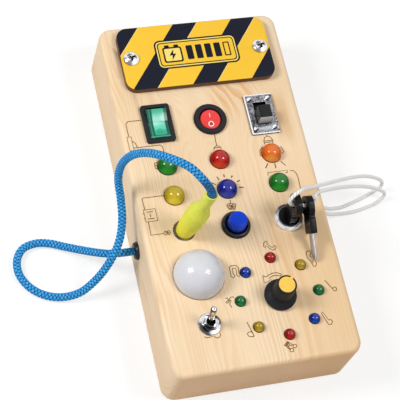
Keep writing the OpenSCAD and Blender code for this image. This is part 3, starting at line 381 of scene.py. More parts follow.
keyString = {
    "exit": (0.052, -0.0126, 0.0175),
    "diameter": 0.002,
    "route": [
        (52, -12.6, 17.5), (54, -12.6, 17.5), (56.6, -12.1, 15.7), (60.5, -11.4, 11.6), (64.7, -9.8, 7.4),
        (70.8, -8.2, 3.4), (77.3, -6, 1.5), (83.9, -3.9, 1.3), (89.6, -1.8, 1.3), (94, -0.1, 2),
        (96.9, 1.1, 4.6), (96.3, 2, 8.4), (92, 2.8, 12.2), (85.5, 2.7, 16.5), (78.2, 1.4, 21),
        (69.8, -1.4, 27), (61.5, -4.5, 33), (53.2, -7.9, 39), (45.5, -11, 44.9), (39, -13.8, 50.4),
        (35, -15.8, 55.1), (32.4, -17.3, 58.2), (30.3, -18.6, 60), (28, -19.9, 60.6), (25.9, -20.9, 60.1),
        (24.4, -21.8, 58.6), (23.8, -22.5, 56.5), (24.4, -22.9, 54.4), (25.9, -23, 53), (27.8, -23, 52.55),
        (29.9, -23, 51.9), (31.4, -22.9, 50.8), (32.8, -22.7, 49.3), (34.3, -22.4, 48.1),
        (36.1, -22.2, 47.45), (38, -21.9, 47.05), (39.8, -21.2, 46.7), (41.2, -19.9, 46.3),
        (41.9, -17.9, 45.9), (42.6, -16, 45.5), (44.3, -14.6, 45), (47.6, -13.6, 43.4), (54.2, -11.2, 38.5),
        (62.3, -8.5, 32.5), (70.6, -6, 26), (78.9, -4, 19.5), (86.3, -3, 14.1), (91.3, -3, 10.6),
        (95.1, -3.4, 7.7), (97.2, -4.1, 5.2), (96.9, -5.1, 2.9), (94.9, -6.3, 1.5), (91.4, -7.9, 1.3),
        (86, -9.4, 1.3), (79.7, -10.7, 1.3), (73.1, -11.7, 2.6), (66.4, -12.9, 6.2), (60.3, -14.7, 11.6),
        (56.6, -15.4, 15.8), (54, -15.4, 17.5), (52, -15.4, 17.5)],
    "plies": 3,
    "pitch": 5.4,
    "relief": 0.16,
    "sides": 24,
    "step": 0.35,
}


def splinePoint(a, b, c, d, t):  # between b and c, knots spaced by the root of the distance
    knots = [0.0]
    for p, q in ((a, b), (b, c), (c, d)):
        knots.append(knots[-1] + math.sqrt((q - p).length))
    k = knots[1] + (knots[2] - knots[1]) * t
    level = [a, b, c, d]
    for spans in (((0, 1), (1, 2), (2, 3)), ((0, 2), (1, 3)), ((1, 2),)):
        level = [p + (q - p) * ((k - knots[i]) / (knots[j] - knots[i]))
                 for (i, j), p, q in zip(spans, level, level[1:])]
    return level[0]


def smoothRoute(route, step, fine=24):  # points one step apart on a smooth curve through the route
    points = [Vector(p) for p in route]
    points = [points[0] * 2 - points[1]] + points + [points[-1] * 2 - points[-2]]
    dense = [splinePoint(*points[i - 1:i + 3], k / fine)
             for i in range(1, len(points) - 2) for k in range(fine)]
    dense.append(points[-2])
    lengths = [0.0]
    for a, b in zip(dense, dense[1:]):
        lengths.append(lengths[-1] + (b - a).length)
    count = round(lengths[-1] / step)
    out = []
    j = 0
    for i in range(count + 1):
        goal = lengths[-1] * i / count
        while j < len(lengths) - 2 and lengths[j + 1] < goal:
            j += 1
        part = (goal - lengths[j]) / (lengths[j + 1] - lengths[j])
        out.append(dense[j].lerp(dense[j + 1], min(1.0, part)))
    return out, lengths[-1]


def sweep(name, path, total, sides, radiusAt):  # a tube along the path, with (turn, length) as its UV map
    step = total / (len(path) - 1)
    last = len(path) - 1
    across = None
    points = []
    for i, p in enumerate(path):
        ahead = (path[min(i + 1, last)] - path[max(i - 1, 0)]).normalized()
        across = across or Vector((0, 0, 1)).cross(ahead)
        across = (across - ahead * across.dot(ahead)).normalized()
        other = ahead.cross(across)
        for k in range(sides):
            angle = 2 * math.pi * k / sides
            radius = radiusAt(angle, i * step, total)
            points.append((p + (across * math.cos(angle) + other * math.sin(angle)) * radius) / 1000.0)
    faces = []
    corners = []
    for i in range(last):
        for k in range(sides):
            around = ((k, i), (k + 1, i), (k + 1, i + 1), (k, i + 1))
            faces.append([ring * sides + side % sides for side, ring in around])
            corners += [(side / sides, ring * step) for side, ring in around]
    for ring, order in ((0, range(sides - 1, -1, -1)), (last, range(sides))):  # the two ends
        faces.append([ring * sides + k for k in order])
        corners += [(k / sides, ring * step) for k in order]
    mesh = bpy.data.meshes.new(name)
    mesh.from_pydata(points, [], faces)
    layer = mesh.uv_layers.new(name="alongCord")
    for loop, corner in zip(layer.data, corners):
        loop.uv = corner
    obj = link(bpy.data.objects.new(name, mesh))
    smooth(obj, 60)
    return obj


def braidRadius(angle, length, total):
    s = braidedCord
    a = s["strands"] * (angle / (2 * math.pi) + length / s["pitch"])
    b = s["strands"] * (angle / (2 * math.pi) - length / s["pitch"])
    over = (math.floor(a) + math.floor(b)) % 2 == 0
    fa, fb = a % 1.0 - 0.5, b % 1.0 - 0.5
    across, along = (fa, fb) if over else (fb, fa)
    ridge = math.sqrt(max(0.0, 1 - (across / 0.56) ** 2)) * (0.45 + 0.55 * math.cos(math.pi * along))
    return s["diameter"] * 500 - s["relief"] * (1 - ridge)


def plyRadius(angle, length, total):
    s = keyString
    turn = s["plies"] * (angle + 2 * math.pi * length / s["pitch"]) / 2
    ease = min(1.0, length / 1.2, (total - length) / 1.2)
    return s["diameter"] * 500 - s["relief"] * ease * (1 - abs(math.cos(turn))) ** 1.2


def alongCord(f):  # turn round the cord, and length along it
    uv = f.add("ShaderNodeUVMap", {"uv_map": "alongCord"})
    return f.outputs("ShaderNodeSeparateXYZ", "X", "Y", Vector=uv)


def braidFinish():
    f = Finish("braidBlue")
    s = braidedCord
    u, v = alongCord(f)
    a = (u + v / s["pitch"]) * s["strands"]
    b = (u - v / s["pitch"]) * s["strands"]
    under = (a.floor() + b.floor()) % 2.0 > 0.5
    fa = abs(a % 1.0 - 0.5)
    fb = abs(b % 1.0 - 0.5)
    across = fa * (1 - under) + fb * under
    along = fb * (1 - under) + fa * under
    valleyShade = f.soft(across, 0.22, 0.46)
    dipShade = f.soft(along, 0.3, 0.5)
    yarn = f.noise(7.0, 2.0, 0.6)
    f.base = f.mix(f.ramp(yarn), srgb(0, 136, 230), srgb(44, 186, 250))
    pale = f.ramp(f.noise(0.9, 2.0, 0.5), 0.4, 0.7)
    f.paint(pale * 0.5, srgb(124, 224, 252))
    # painted shade in the valleys between the strands and where a strand dips under the next
    f.paint(valleyShade, srgb(0, 34, 100))
    f.paint(dipShade * 0.7, srgb(0, 50, 140))
    # painted shade: the lead darker blue where it rises high towards the front, near the plug
    f.paint(f.ramp(f.z, 72.0, 82.0) * f.ramp(f.y, -19.0, -21.0) * 0.6, srgb(0, 36, 96))
    f.set(colour=f.base, roughness=f.ramp(yarn, 0.2, 0.8, 0.5, 0.75), sheen=0.08, sheenRoughness=0.4,
          specular=0.25)
    f.bump(f.noise(9.0, 2.0), 0.05)
    return f


def stringFinish():
    f = Finish("stringWhite")
    s = keyString
    u, v = alongCord(f)
    turn = (u + v / s["pitch"]) * s["plies"]
    valleyShade = f.soft(abs(turn % 1.0 - 0.5), 0.3, 0.5)
    hair = f.noise(5.0, 3.0, 0.6)
    f.base = f.mix(f.ramp(hair), srgb(252, 252, 252), srgb(255, 255, 255))
    # painted shade in the valleys between the plies
    f.paint(valleyShade * 0.7, srgb(158, 158, 160))
    f.set(colour=f.base, roughness=f.ramp(hair, 0.2, 0.8, 0.75, 0.92), specular=0.3)
    f.bump(hair, 0.05)
    return f


def makeCords():
    path, total = smoothRoute(braidedCord["route"], braidedCord["step"])
    lead = sweep("braided_cord", path, total, braidedCord["sides"], braidRadius)
    finishWith(lead, braidFinish())
    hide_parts("plug_cord")
    print("braided cord", round(total, 1), "mm")
    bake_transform(lead)
    path, total = smoothRoute(keyString["route"], keyString["step"])
    string = sweep("key_string_twisted", path, total, keyString["sides"], plyRadius)
    finishWith(string, stringFinish())
    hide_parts("key_string")
    print("key string", round(total, 1), "mm")
    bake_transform(string)


makeCords()
print("cords made")


# the pine block
pineBlock = {
    "pale": srgb(249, 222, 186),
    "warm": srgb(241, 208, 164),
    "line": srgb(214, 166, 108),
    "streak": srgb(228, 164, 92),
    "pith": (150.0, 0.0, -112.0),  # middle of the tree, millimetres
    "rings": 1.75,  # spacing of the growth rings
    "knot": (-1.5, 42.0, 30.0),  # what the grain bends round
}


def pineFinish():
    f = Finish("pineWood")
    s = pineBlock
    drift = f.streaks(0.03, 0.009, 0.03)
    wave = f.streaks(0.08, 0.02, 0.08, 2.0, 0.5, (3.1, 0.4, 1.7))
    knot = f.add("ShaderNodeVectorMath", {"operation": "DISTANCE"}, {0: f.place, 1: s["knot"]}, 1)
    pull = f.ramp(knot, 6.0, 34.0, 9.0, 0.0, "SMOOTHERSTEP")
    bend = f.soft(f.y, 40.0, 74.0, 0.0, 10.0) * f.soft(f.x, -34.0, 10.0)
    x = f.x - s["pith"][0] + f.y * 0.035 + (drift - 0.5) * 16.0 - pull + bend
    z = f.z - s["pith"][2] + (wave - 0.5) * 4.0
    reach = (x * x + z * z).root()
    ring = reach / s["rings"] + (f.streaks(0.11, 0.008, 0.11, 1.0) - 0.5) * 5.0
    phase = ring % 1.0
    late = f.soft(phase, 0.2, 0.8) * f.ramp(phase, 1.0, 0.86)
    wide = (ring * 0.37) % 1.0
    band = f.soft(wide, 0.1, 0.6) * f.soft(wide, 1.0, 0.74)
    strength = f.ramp(f.streaks(0.06, 0.01, 0.06, 1.0, 0.5, (7, 2, 5)), 0.38, 0.62, 0.15, 0.9)
    quiet = f.soft(f.x, 20.0, 38.0, 1.0, 0.3)
    fibre = f.streaks(1.6, 0.022, 1.6, 2.0, 0.6)
    pore = f.streaks(4.2, 0.12, 4.2, 2.0, 0.6)
    blotch = f.streaks(0.04, 0.014, 0.04, 2.0, 0.5, (1.0, 4.0, 0.0))
    lower = f.ramp(f.y, -30.0, 30.0)
    f.base = f.mix(f.soft(blotch, 0.35, 0.65, 0.0, 0.75) * f.ramp(lower, 0.0, 1.0, 0.6, 1.0), s["pale"],
                   s["warm"])
    f.paint(f.ramp(fibre) * 0.22, srgb(255, 236, 204))
    top = f.soft(abs(f.x - 15.0), 16.0, 6.0) * f.soft(f.y, 30.0, 52.0)
    low = f.soft(abs(f.x - 22.0), 10.0, 3.0) * f.soft(f.y, 20.0, -70.0)
    front = f.ramp(f.z, 24.0, 34.0)
    f.paint((top * 0.6).most(low * 0.35) * band * front, s["streak"])
    plate = f.soft(abs(f.x - 39.0), 7.0, 2.0) * f.soft(abs(f.y - 36.0), 20.0, 6.0)
    f.paint(plate * 0.5, srgb(212, 166, 108))
    corner = f.soft(f.x, 8.0, 42.0) * f.soft(f.y, 20.0, -40.0)
    f.paint(corner * 0.6, srgb(230, 190, 136))
    # painted shade: the block's left side face darker than its front
    f.paint(f.ramp(f.x, -50.0, -48.6, 0.4, 0.0), srgb(222, 196, 166))
    f.paint(late * strength * quiet * 0.4, s["line"])
    f.paint(f.ramp(pore, 0.52, 0.75) * 0.12, srgb(206, 160, 104))
    f.paint(f.ramp(f.y, -99.9, -98.0, 0.5, 0.0), srgb(226, 164, 98))
    f.set(colour=f.base, coat=0.04, coatRoughness=0.35, specular=0.35)
    f.set(roughness=f.ramp(pore + late * 0.3, 0.3, 1.0, 0.42, 0.6))
    f.bump(pore * 0.6 + late * 0.5, 0.02)
    return f


dress("wood_body", "pine_block", pineFinish(), "board", "pine", angle=30)
print("pine block made")


# engraved pictograms
engraving = {
    "width": 0.46,
    "round": 0.52,  # radius of a burnt line before it is flattened, as a part of its width
    "flat": 0.22,  # what is left of its height
    "colour": srgb(104, 72, 30),
    "lines": {  # strokes of x,y points in millimetres, parted by slashes
        "rocker_circuit": (
            "-37.5,42.8 -44.4,42.9 -45.8,41.6 -45.7,34.2 / -46.8,33.9 -44.5,33.9 -44.5,25.9 -46.7,25.9 "
            "-46.8,33.9 / -44.5,31.4 -43,30 -42.5,27.4 / -44.4,27.3 -30.4,27.3 -29.1,26.2 -29,21.4"),
        "green_lamp_mark": "-34,17.6 -35.4,17 -35.6,14.4 -34.2,13.6 / -35.5,15.8 -34.4,15.7",
        "red_bulb": "0.1,29.8 -0.2,23.3 / -2.3,20.9 -1.7,22.3 -0.2,23.1 1.2,22.6 2,21.1 / -1.8,21.9 1.6,21.9",
        "orange_bulb": (
            "28.4,26 28.4,25.3 / 26,20.6 25.9,22.4 26.7,24.4 28.3,25.3 30,24.5 30.9,22.6 30.7,20.6 / "
            "26,22.5 30.8,22.5 / 26.3,21.6 30.6,21.6 / 24.3,19.4 22.5,17.2 22,14.6 23.2,13.6 / 34.4,18.4 "
            "35.4,15.2 34,14"),
        "orange_rays": (
            "25,9.4 23,6.8 / 28.7,9 28.6,6.2 / 32.2,9.6 34.4,6.9 / 25,9.2 23.2,6.9 / 28.8,8.8 28.7,6.3 / "
            "32.4,9.4 34.3,7"),
        "blue_bulb": (
            "-0.2,-8.7 -0.3,-10.8 / -2.7,-11.6 -1.7,-10.6 2.2,-11 2,-12.3 1.1,-14.2 -1.7,-13.9 -2.3,-12.6 "
            "-2.7,-11.6 / -2.3,-11.5 2,-11.8 / -2.2,-12.3 1.8,-12.7 / -1.8,-13.2 1.4,-13.5 / -1.2,-11 "
            "0.9,-13.8 / 0.9,-11 -1,-13.8"),
        "blue_rays": (
            "-4.3,5.4 -3.4,3.2 / -0.3,6.3 -0.3,4.5 / 4.1,5 3.3,3.8 / 5.8,1.2 7.6,1.8 / 6.3,-2.3 8.7,-2.6 "
            "/ -7.8,2.4 -5.9,1.1 / -7.2,-1.5 -6.6,-2.5 / -4.1,5.3 -3.2,3.3 / -0.1,6.2 -0.1,4.6 / 4.3,4.9 "
            "3.5,3.7 / 5.9,1 7.6,1.6 / 6.3,-2.1 8.6,-2.4 / -7.7,2.2 -5.8,0.9"),
        "lamp_shelf": "23.4,2.5 23.6,4.1 34.4,4.1 34.3,2.9 33,2.6",
        "lock_lead": "36,3.7 37.6,3.5 38.8,2.2 39.3,-0.4 39,-9.5",
        "battery_circuit": (
            "-34.2,-1.5 -45.6,-1.5 -46,-2.2 -45.8,-8.2 / -46.6,-8.2 -40.4,-8.2 -40.4,-14.9 -46.6,-14.9 "
            "-46.6,-8.2 / -47.3,-10.2 -46.6,-10.2 / -47.3,-13 -46.6,-13 / -45.2,-9.6 -41.8,-9.6 / "
            "-45.2,-13.4 -41.8,-13.4 / -43.6,-10.6 -43.6,-12.4 / -45.4,-14.9 -45.6,-22.4 -39,-22.4"),
        "plug_mark": (
            "-39,-22.4 -38,-21.2 -36.9,-21.6 -36,-21 -35.2,-22.2 -36,-23.5 -36.9,-22.9 -38,-23.5 "
            "-39,-22.4 / -38.2,-22.3 -35.8,-22.2 / -37.2,-21.6 -36.4,-23"),
        "note_above": (
            "11.3,-36.6 11.8,-34.9 13.1,-33.9 13.9,-34.7 13.2,-35.6 15.8,-38 17.2,-37 18,-37.8 16.8,-39.3 "
            "15.4,-39.3 12.5,-36.4 12,-37.6 11.3,-36.6"),
        "note_upper_right": (
            "32.7,-43.8 33.6,-42.5 35,-42.6 35.5,-43.8 34.6,-44.9 34.4,-45.8 35.8,-46.4 36.5,-47.8 "
            "36.9,-50 36.1,-51.4 34.9,-51.2 34.6,-49.8 33.9,-48.2 32.8,-46.4 32.7,-43.8 / 34.6,-47.6 "
            "35.5,-48.6 34.9,-49.4 34.6,-47.6"),
        "note_right": (
            "38.8,-59.6 41.9,-65 / 41.9,-65 42.3,-64.1 43.2,-64 43.9,-64.7 43.7,-65.8 42.8,-66.2 "
            "42.1,-65.8 41.9,-65"),
        "note_lower_right": (
            "32.5,-76.9 33.3,-76.2 35.3,-80.9 36.5,-80.8 37.2,-82 36.2,-83.4 34.9,-83.4 34.3,-82.2 "
            "32.5,-76.9"),
        "turn_arrow": (
            "7,-52.4 8.7,-53.3 10.4,-52.4 12.4,-51.8 14.8,-51.9 17,-53 / 17,-53 16.2,-54 / 16.2,-54 "
            "14.5,-53.3 12.4,-53.2 10.8,-53.8 10.1,-54.4 11.2,-55.2 6.9,-56.4 7,-52.4"),
        "note_left": (
            "-9.2,-45.4 -8,-44.7 -5.4,-45 -4.6,-46.2 -5,-49.2 -4.4,-50.2 -5.3,-51.2 -6.3,-50.4 -6,-46.4 "
            "-7.8,-46.1 -8,-49 -7.4,-50.4 -8.3,-51.4 -9.4,-50.4 -9.2,-45.4"),
        "note_lower_left": (
            "-15.1,-61.7 -14,-61.5 -13.7,-62.7 -14.7,-63.3 -15.4,-63.8 -14.6,-64.3 / -13.7,-63 "
            "-12.4,-61.5 -11.1,-61.2 -10.6,-62 / -14.6,-64.3 -13.2,-63.1 -12.2,-62.9 -13.1,-64.1 "
            "-13.6,-65 -12.8,-66.9"),
        "note_lower": (
            "-7,-75.6 -5,-83.4 / -5,-83.4 -6,-83.6 -7.6,-83.2 -8.3,-81.9 -7.4,-80.9 -6.1,-80.9 -5.2,-81.8"),
        "toggle_mark": (
            "-30,-79.7 -29.5,-80.5 -27.9,-80.5 -25.9,-80.4 -27.6,-79.5 -29.2,-78.9 / -25.3,-80.1 "
            "-24.7,-81.1 -23.6,-81.5 -22.4,-81.1 -21.8,-80 -22,-79.1"),
        "note_below": (
            "11.7,-93.4 9.1,-90.4 11.3,-88.7 13.7,-91.4 / 9.5,-90.8 11.6,-89.1 / 9.9,-91.2 11.9,-89.5 / "
            "10.1,-90.1 11.2,-89.4 11.9,-90.8 12.9,-91.5 / 10.1,-90.1 10.9,-91.5 11.7,-92.7 / 11.9,-90.8 "
            "10.9,-91.5 / 13.4,-93.7 12.9,-94.3 12.1,-94.5 11.5,-94.1 11.3,-93.4 11.8,-92.7 12.6,-92.6 "
            "13.2,-93 13.4,-93.7 / 15.4,-91.9 14.9,-92.5 14.2,-92.7 13.5,-92.3 13.4,-91.6 13.8,-90.9 "
            "14.6,-90.8 15.3,-91.2 15.4,-91.9"),
    },
}


def burntFinish():
    f = Finish("burntLines")
    char = f.noise(1.6, 3.0, 0.6)
    f.base = f.mix(f.ramp(char), engraving["colour"], srgb(140, 100, 48))
    f.set(colour=f.base, roughness=f.ramp(char, 0.2, 0.8, 0.8, 0.95))
    f.bump(char, 0.03)
    return f


def makeEngraving():
    burnt = burntFinish()
    for name, figure in engraving["lines"].items():
        curve = bpy.data.curves.new("engraved_" + name, "CURVE")
        curve.dimensions = "3D"
        curve.bevel_depth = engraving["width"] * engraving["round"] / 1000
        curve.bevel_resolution = 1
        curve.use_fill_caps = True
        for stroke in figure.split(" / "):
            marks = stroke.split()
            closed = marks[0] == marks[-1] and len(marks) > 3
            if closed:
                marks.pop()
            line = curve.splines.new("POLY")
            line.points.add(len(marks) - 1)
            line.use_cyclic_u = closed
            for point, mark in zip(line.points, marks):
                x, y = (float(number) / 1000 for number in mark.split(","))
                point.co = (x, y, faceHeight / 1000, 1)
        pick(link(bpy.data.objects.new("engraved_" + name, curve)))
        bpy.ops.object.convert(target="MESH")
        obj = bpy.context.view_layer.objects.active
        for vertex in obj.data.vertices:
            above = vertex.co.z - faceHeight / 1000
            vertex.co.z = faceHeight / 1000 + above * engraving["flat"]
        smooth(obj, 50)
        finishWith(obj, burnt)
        settle(obj, "board", "pine")


makeEngraving()
print("pictograms engraved")


# striped battery cover
stripedCover = {
    "yellow": srgb(255, 203, 62),
    "navy": srgb(24, 28, 48),
    "edge": srgb(84, 54, 34),
    "pale": srgb(255, 236, 160),
    "middle": 77.6,
    "bandAt": -17.1,  # middle of one dark band, at the cover's own middle height
    "bandStep": 33.05,
    "bandHalf": 6.6,
    "slope": 1.26,
    "top": 39.0,
}


def coverFinish():
    f = Finish("coverStripes")
    s = stripedCover
    along = f.x - (f.y - s["middle"]) / s["slope"] - (s["bandAt"] - s["bandStep"] / 2)
    gap = abs(along % s["bandStep"] - s["bandStep"] / 2)
    grain = f.noise(1.4, 4.0, 0.65)
    yellow = f.mix(f.ramp(grain), shade(s["yellow"], 0.97), shade(s["yellow"], 1.02))
    navy = f.mix(f.ramp(grain, 0.35, 0.7), shade(s["navy"], 0.45), shade(s["navy"], 0.8))
    lining = f.mix(along % s["bandStep"] < s["bandStep"] / 2, s["pale"], shade(s["navy"], 0.3))
    face = f.mix(gap < s["bandHalf"] + 0.32, yellow, lining)
    face = f.mix(gap < s["bandHalf"], face, navy)
    burnt = f.mix(f.ramp(f.streaks(1.2, 1.2, 4.0, 3.0, 0.6)), s["edge"], srgb(122, 84, 54))
    f.base = f.mix(f.z < s["top"] - 0.18, face, burnt)
    f.set(colour=f.base, specular=0.15)
    f.rough(grain, 0.36, 0.5)
    f.bump(f.noise(2.2, 3.0), 0.02)
    return f


printedSign = {  # a plain battery sign in place of the label
    "dark": srgb(14, 18, 32),
    "pale": srgb(255, 226, 120),
    "yellow": stripedCover["yellow"],
    "depth": 0.1,  # how far the print reaches into the cover
    "corner": 6,  # segments of a rounded corner
    "boxes": [  # ink, millimetres above the cover, middle, width, height, corner
        ("dark", 0.03, 0.6, 78.2, 46.0, 17.6, 3.4),
        ("pale", 0.05, 0.6, 78.2, 44.2, 15.8, 2.6),
        ("dark", 0.07, 0.6, 78.2, 42.8, 14.4, 2.0),
        ("yellow", 0.09, 0.6, 78.2, 41.6, 13.2, 1.6),
        ("dark", 0.11, -13.0, 77.7, 10.6, 9.4, 1.3),
        *(("dark", 0.11, x, 82.9, 2.6, 1.6, 0.4) for x in (-15.6, -10.4)),
        ("pale", 0.13, -13.0, 77.7, 8.8, 7.6, 0.7),
        "bolt",
        *(("dark", 0.11, x, 78.2, 3.6, 8.6, 0.6) for x in (-3.4, 1.8, 7.0, 12.2, 17.4)),
        ("yellow", 0.13, 17.4, 78.2, 2.2, 7.2, 0.3),
    ],
    "bolt": ("dark", 0.15, [
        (-12.2, 81.0), (-15.0, 77.3), (-13.3, 77.3), (-13.9, 74.4), (-11.1, 78.2), (-12.8, 78.2)]),
}


def inkFinish(name, colour):
    f = Finish(name)
    speck = f.noise(2.4, 3.0, 0.6)
    f.set(colour=f.mix(f.ramp(speck), shade(colour, 0.95), shade(colour, 1.06)), specular=0.15)
    f.rough(speck, 0.36, 0.48)
    f.bump(speck, 0.01)
    return f


def printedBox(x, y, width, height, corner):
    clearSelection()
    bpy.ops.mesh.primitive_plane_add(size=0.001)
    box = bpy.context.object
    for vertex in box.data.vertices:
        vertex.co = (vertex.co.x * width + x / 1000, vertex.co.y * height + y / 1000, 0)
    bpy.ops.object.mode_set(mode="EDIT")
    bpy.ops.mesh.select_all(action="SELECT")
    bpy.ops.mesh.bevel(affect="VERTICES", offset=corner / 1000, segments=printedSign["corner"])
    bpy.ops.object.mode_set(mode="OBJECT")
    return box


def printedShape(outline):
    clearSelection()
    bpy.ops.mesh.primitive_circle_add(vertices=len(outline), fill_type="NGON")
    shape = bpy.context.object
    for vertex, (x, y) in zip(shape.data.vertices, outline):
        vertex.co = (x / 1000, y / 1000, 0)
    return shape


def makeCover():
    dress("battery_cover", "striped_cover", coverFinish(), "board", "cover_yellow", 0.3)
    inks = {ink: inkFinish("ink" + ink.title(), printedSign[ink]) for ink in ("dark", "pale", "yellow")}
    for number, entry in enumerate(printedSign["boxes"]):
        ink, lift, *shape = printedSign["bolt"] if entry == "bolt" else entry
        layer = printedShape(*shape) if entry == "bolt" else printedBox(*shape)
        layer.name = layer.data.name = "cover_print_%02d" % (number + 1)
        for vertex in layer.data.vertices:
            vertex.co.z = (stripedCover["top"] + lift) / 1000
        pick(layer)
        depth = layer.modifiers.new("depth", "SOLIDIFY")
        depth.thickness = (lift + printedSign["depth"]) / 1000
        depth.offset = -1
        bpy.ops.object.modifier_apply(modifier="depth")
        finishWith(layer, inks[ink])
        settle(layer, "board", "cover_yellow")


makeCover()
print("cover made")


# the three switches of the upper row
switchRow = {
    "greenAt": (-29.0, 39.4),
    "redAt": (-0.4, 38.6),
    "tilt": math.radians(9),
    "pivotRed": 33.6,
    "white": srgb(250, 240, 240),
    "plateAt": (28.2, 38.2),
    "slideKnobEnd": 32.5,  # lower face of the slide knob
}


def greenFinish():
    f = Finish("rockerGreen")
    x, y = f.around(switchRow["greenAt"])
    cloud = f.noise(0.5, 3.0)
    inside = f.ramp(x, -3.0, -2.5) * f.ramp(x, 3.8, 3.4) * f.ramp(abs(y), 7.3, 6.9)
    # the dark teal frame round the middle is partly the rocker's own deep green and partly painted shade at
    # its edges
    deep = f.mix(f.ramp(cloud), srgb(0, 84, 66), srgb(8, 104, 84))
    # painted highlight: thin bright lines along the frame's upper and lower edges and its left edge
    rim = f.ramp(abs(abs(y) - 7.9), 0.45, 0.2).most(f.ramp(abs(x + 4.2), 0.5, 0.2) * 0.5)
    deep = f.mix(rim * 0.6, deep, srgb(88, 200, 158))
    milky = f.mix(f.ramp(y, -7.0, 7.0), srgb(52, 176, 138), srgb(64, 186, 148))
    # painted glow: a pale band across the middle, fading to the right, and a brighter band below it
    paintedGlow = f.soft(abs(y - 0.8), 5.4, 1.0) * f.ramp(x, -3.2, 3.4, 1.0, 0.55)
    milky = f.mix(paintedGlow, milky, srgb(176, 242, 226))
    low = f.soft(abs(y + 3.0), 2.2, 0.4)
    milky = f.mix(low * 0.7, milky, srgb(96, 224, 190))
    f.base = f.mix(inside, deep, milky)
    mark = (x * x + (y + 4.8) * (y + 4.8)).root()
    ring = f.ramp(abs(mark - 1.1), 0.36, 0.2)
    f.paint(ring * 0.6, srgb(14, 128, 96))
    f.set(colour=f.base, coat=0.15, coatRoughness=0.06, specular=0.3)
    f.rough(cloud, 0.22, 0.3)
    f.bump(ring, 0.04)
    return f


def redFinish():
    f = Finish("rockerRed")
    tilt = switchRow["tilt"]
    x, flat = f.around(switchRow["redAt"])
    high = f.z - switchRow["pivotRed"]
    y = flat * math.cos(tilt) + high * math.sin(tilt)
    up = high * math.cos(tilt) - flat * math.sin(tilt)
    cloud = f.noise(0.5, 3.0)
    f.base = f.mix(f.ramp(y, -5.5, 5.5), srgb(238, 54, 34), srgb(240, 72, 78))
    f.paint(f.ramp(cloud) * 0.3, srgb(248, 84, 66))
    # painted shade: the rocker's side wall, below its top face, dark red
    f.paint(f.ramp(up, 2.5, 1.6), srgb(112, 0, 20))
    top = up > 2.3
    bar = f.ramp(abs(x), 0.14, 0.26, 0.85, 0.0) * f.ramp(abs(y - 2.5), 1.2, 1.0)
    mark = (x * x + (y + 2.4) * (y + 2.4)).root()
    ring = f.ramp(abs(mark - 1.3), 0.34, 0.2)
    white = bar.most(ring) * top
    f.paint(f.ramp(mark, 1.2, 0.9) * top * 0.7, srgb(170, 16, 30))
    # painted shade: the ring beyond its top face dark red, where its side shows
    f.paint(f.ramp(away(x, y), 5.0, 5.5) * 0.85, srgb(150, 6, 30))
    f.paint(white, switchRow["white"])
    f.set(colour=f.base, coat=0.1, coatRoughness=0.08, specular=0.25)
    f.rough(cloud, 0.3, 0.38)
    f.bump(white, 0.03)
    return f


blackGloss = plastic("blackPlastic", srgb(24, 24, 27), 0.3, 0.008, coat=0.05, specular=0.28)
blackMatt = plastic("blackMatt", srgb(33, 31, 35), 0.5, 0.02, 3.0, specular=0.2)
blackDeep = plastic("blackDeep", srgb(12, 12, 14), 0.3, 0.003, specular=0.14)
brightChrome = metal("brightChrome", (0.62, 0.62, 0.64), 0.12, spread=0.12, tarnish=0.5, scratch=0.002)
satinSteel = metal("satinSteel", (0.5, 0.5, 0.52), 0.26, (0.6, 6.0, 6.0), tarnish=0.3)
softBrass = metal("softBrass", (0.7, 0.53, 0.24), 0.28, (4.0, 4.0, 0.8))


def chromeWithPaintedReflection(name, middle, turns, phase, dark, bore=0.0, rough=0.0):
    # painted reflection: bright and dark sectors and dark rings, and with a bore, a hole painted black as
    # painted shade
    f = Finish(name)
    x, y = f.around(middle)
    reach = away(x, y)
    sway = (f.noise(0.5, 2.0) - 0.5) * 1.4
    reflectionSector = (y.bearing(x) * turns + phase + sway).sine()
    bright = f.soft(reflectionSector, -0.35, 0.5)
    f.base = f.mix(bright, (dark, dark, dark * 1.04), (0.8, 0.8, 0.82))
    ring = f.ramp((reach * 2.4 + sway).sine(), 0.55, 0.95)
    # painted reflection: dark rings
    f.paint(ring * 0.5, (0.16, 0.16, 0.17))
    if bore:
        # painted shade: the bore painted near black
        f.paint(reach < bore, (0.012, 0.012, 0.013))
    f.set(colour=f.base, metallic=1.0)
    f.set(roughness=f.ramp(bright, 0.0, 1.0, 0.22 + rough, 0.1 + rough))
    f.bump(f.noise(2.0, 2.0), 0.003)
    return f


def plateFinish():
    f = Finish("slidePlateSteel")
    x, y = f.around(switchRow["plateAt"])
    cloud = f.noise(0.7, 5.0, 0.7, distortion=1.8)
    f.base = f.mix(f.ramp(cloud, 0.4, 0.6), srgb(70, 70, 78), srgb(186, 187, 192))
    pit = f.ramp(f.noise(1.5, 4.0, 0.75), 0.53, 0.66)
    f.paint(pit * 0.75, srgb(40, 38, 48))
    lit = f.ramp(abs(y + 8.8), 1.6, 0.6) * f.ramp(abs(x), 5.0, 3.5)
    f.paint(lit * 0.8, srgb(205, 208, 212))
    shadow = f.ramp(x, -4.6, -5.6) * f.ramp(y, -9.0, -3.0, 1.0, 0.5)
    f.paint(shadow * 0.6, srgb(44, 42, 58))
    # painted highlight: the plate's left, upper and lower edges painted near white
    rim = (x < -7.0).most(y > 11.1).most((y < -11.2) * 0.8)
    f.paint(rim, srgb(240, 240, 242))
    # painted shade: the plate's side walls painted near black
    edge = (f.z < 36.05) * (f.z > 34.0)
    f.paint(edge, srgb(12, 12, 15))
    f.set(colour=f.base, metallic=1.0)
    f.rough(cloud, 0.2, 0.36)
    f.bump(f.noise(0.8, 3.0, 0.6), 0.08)
    return f


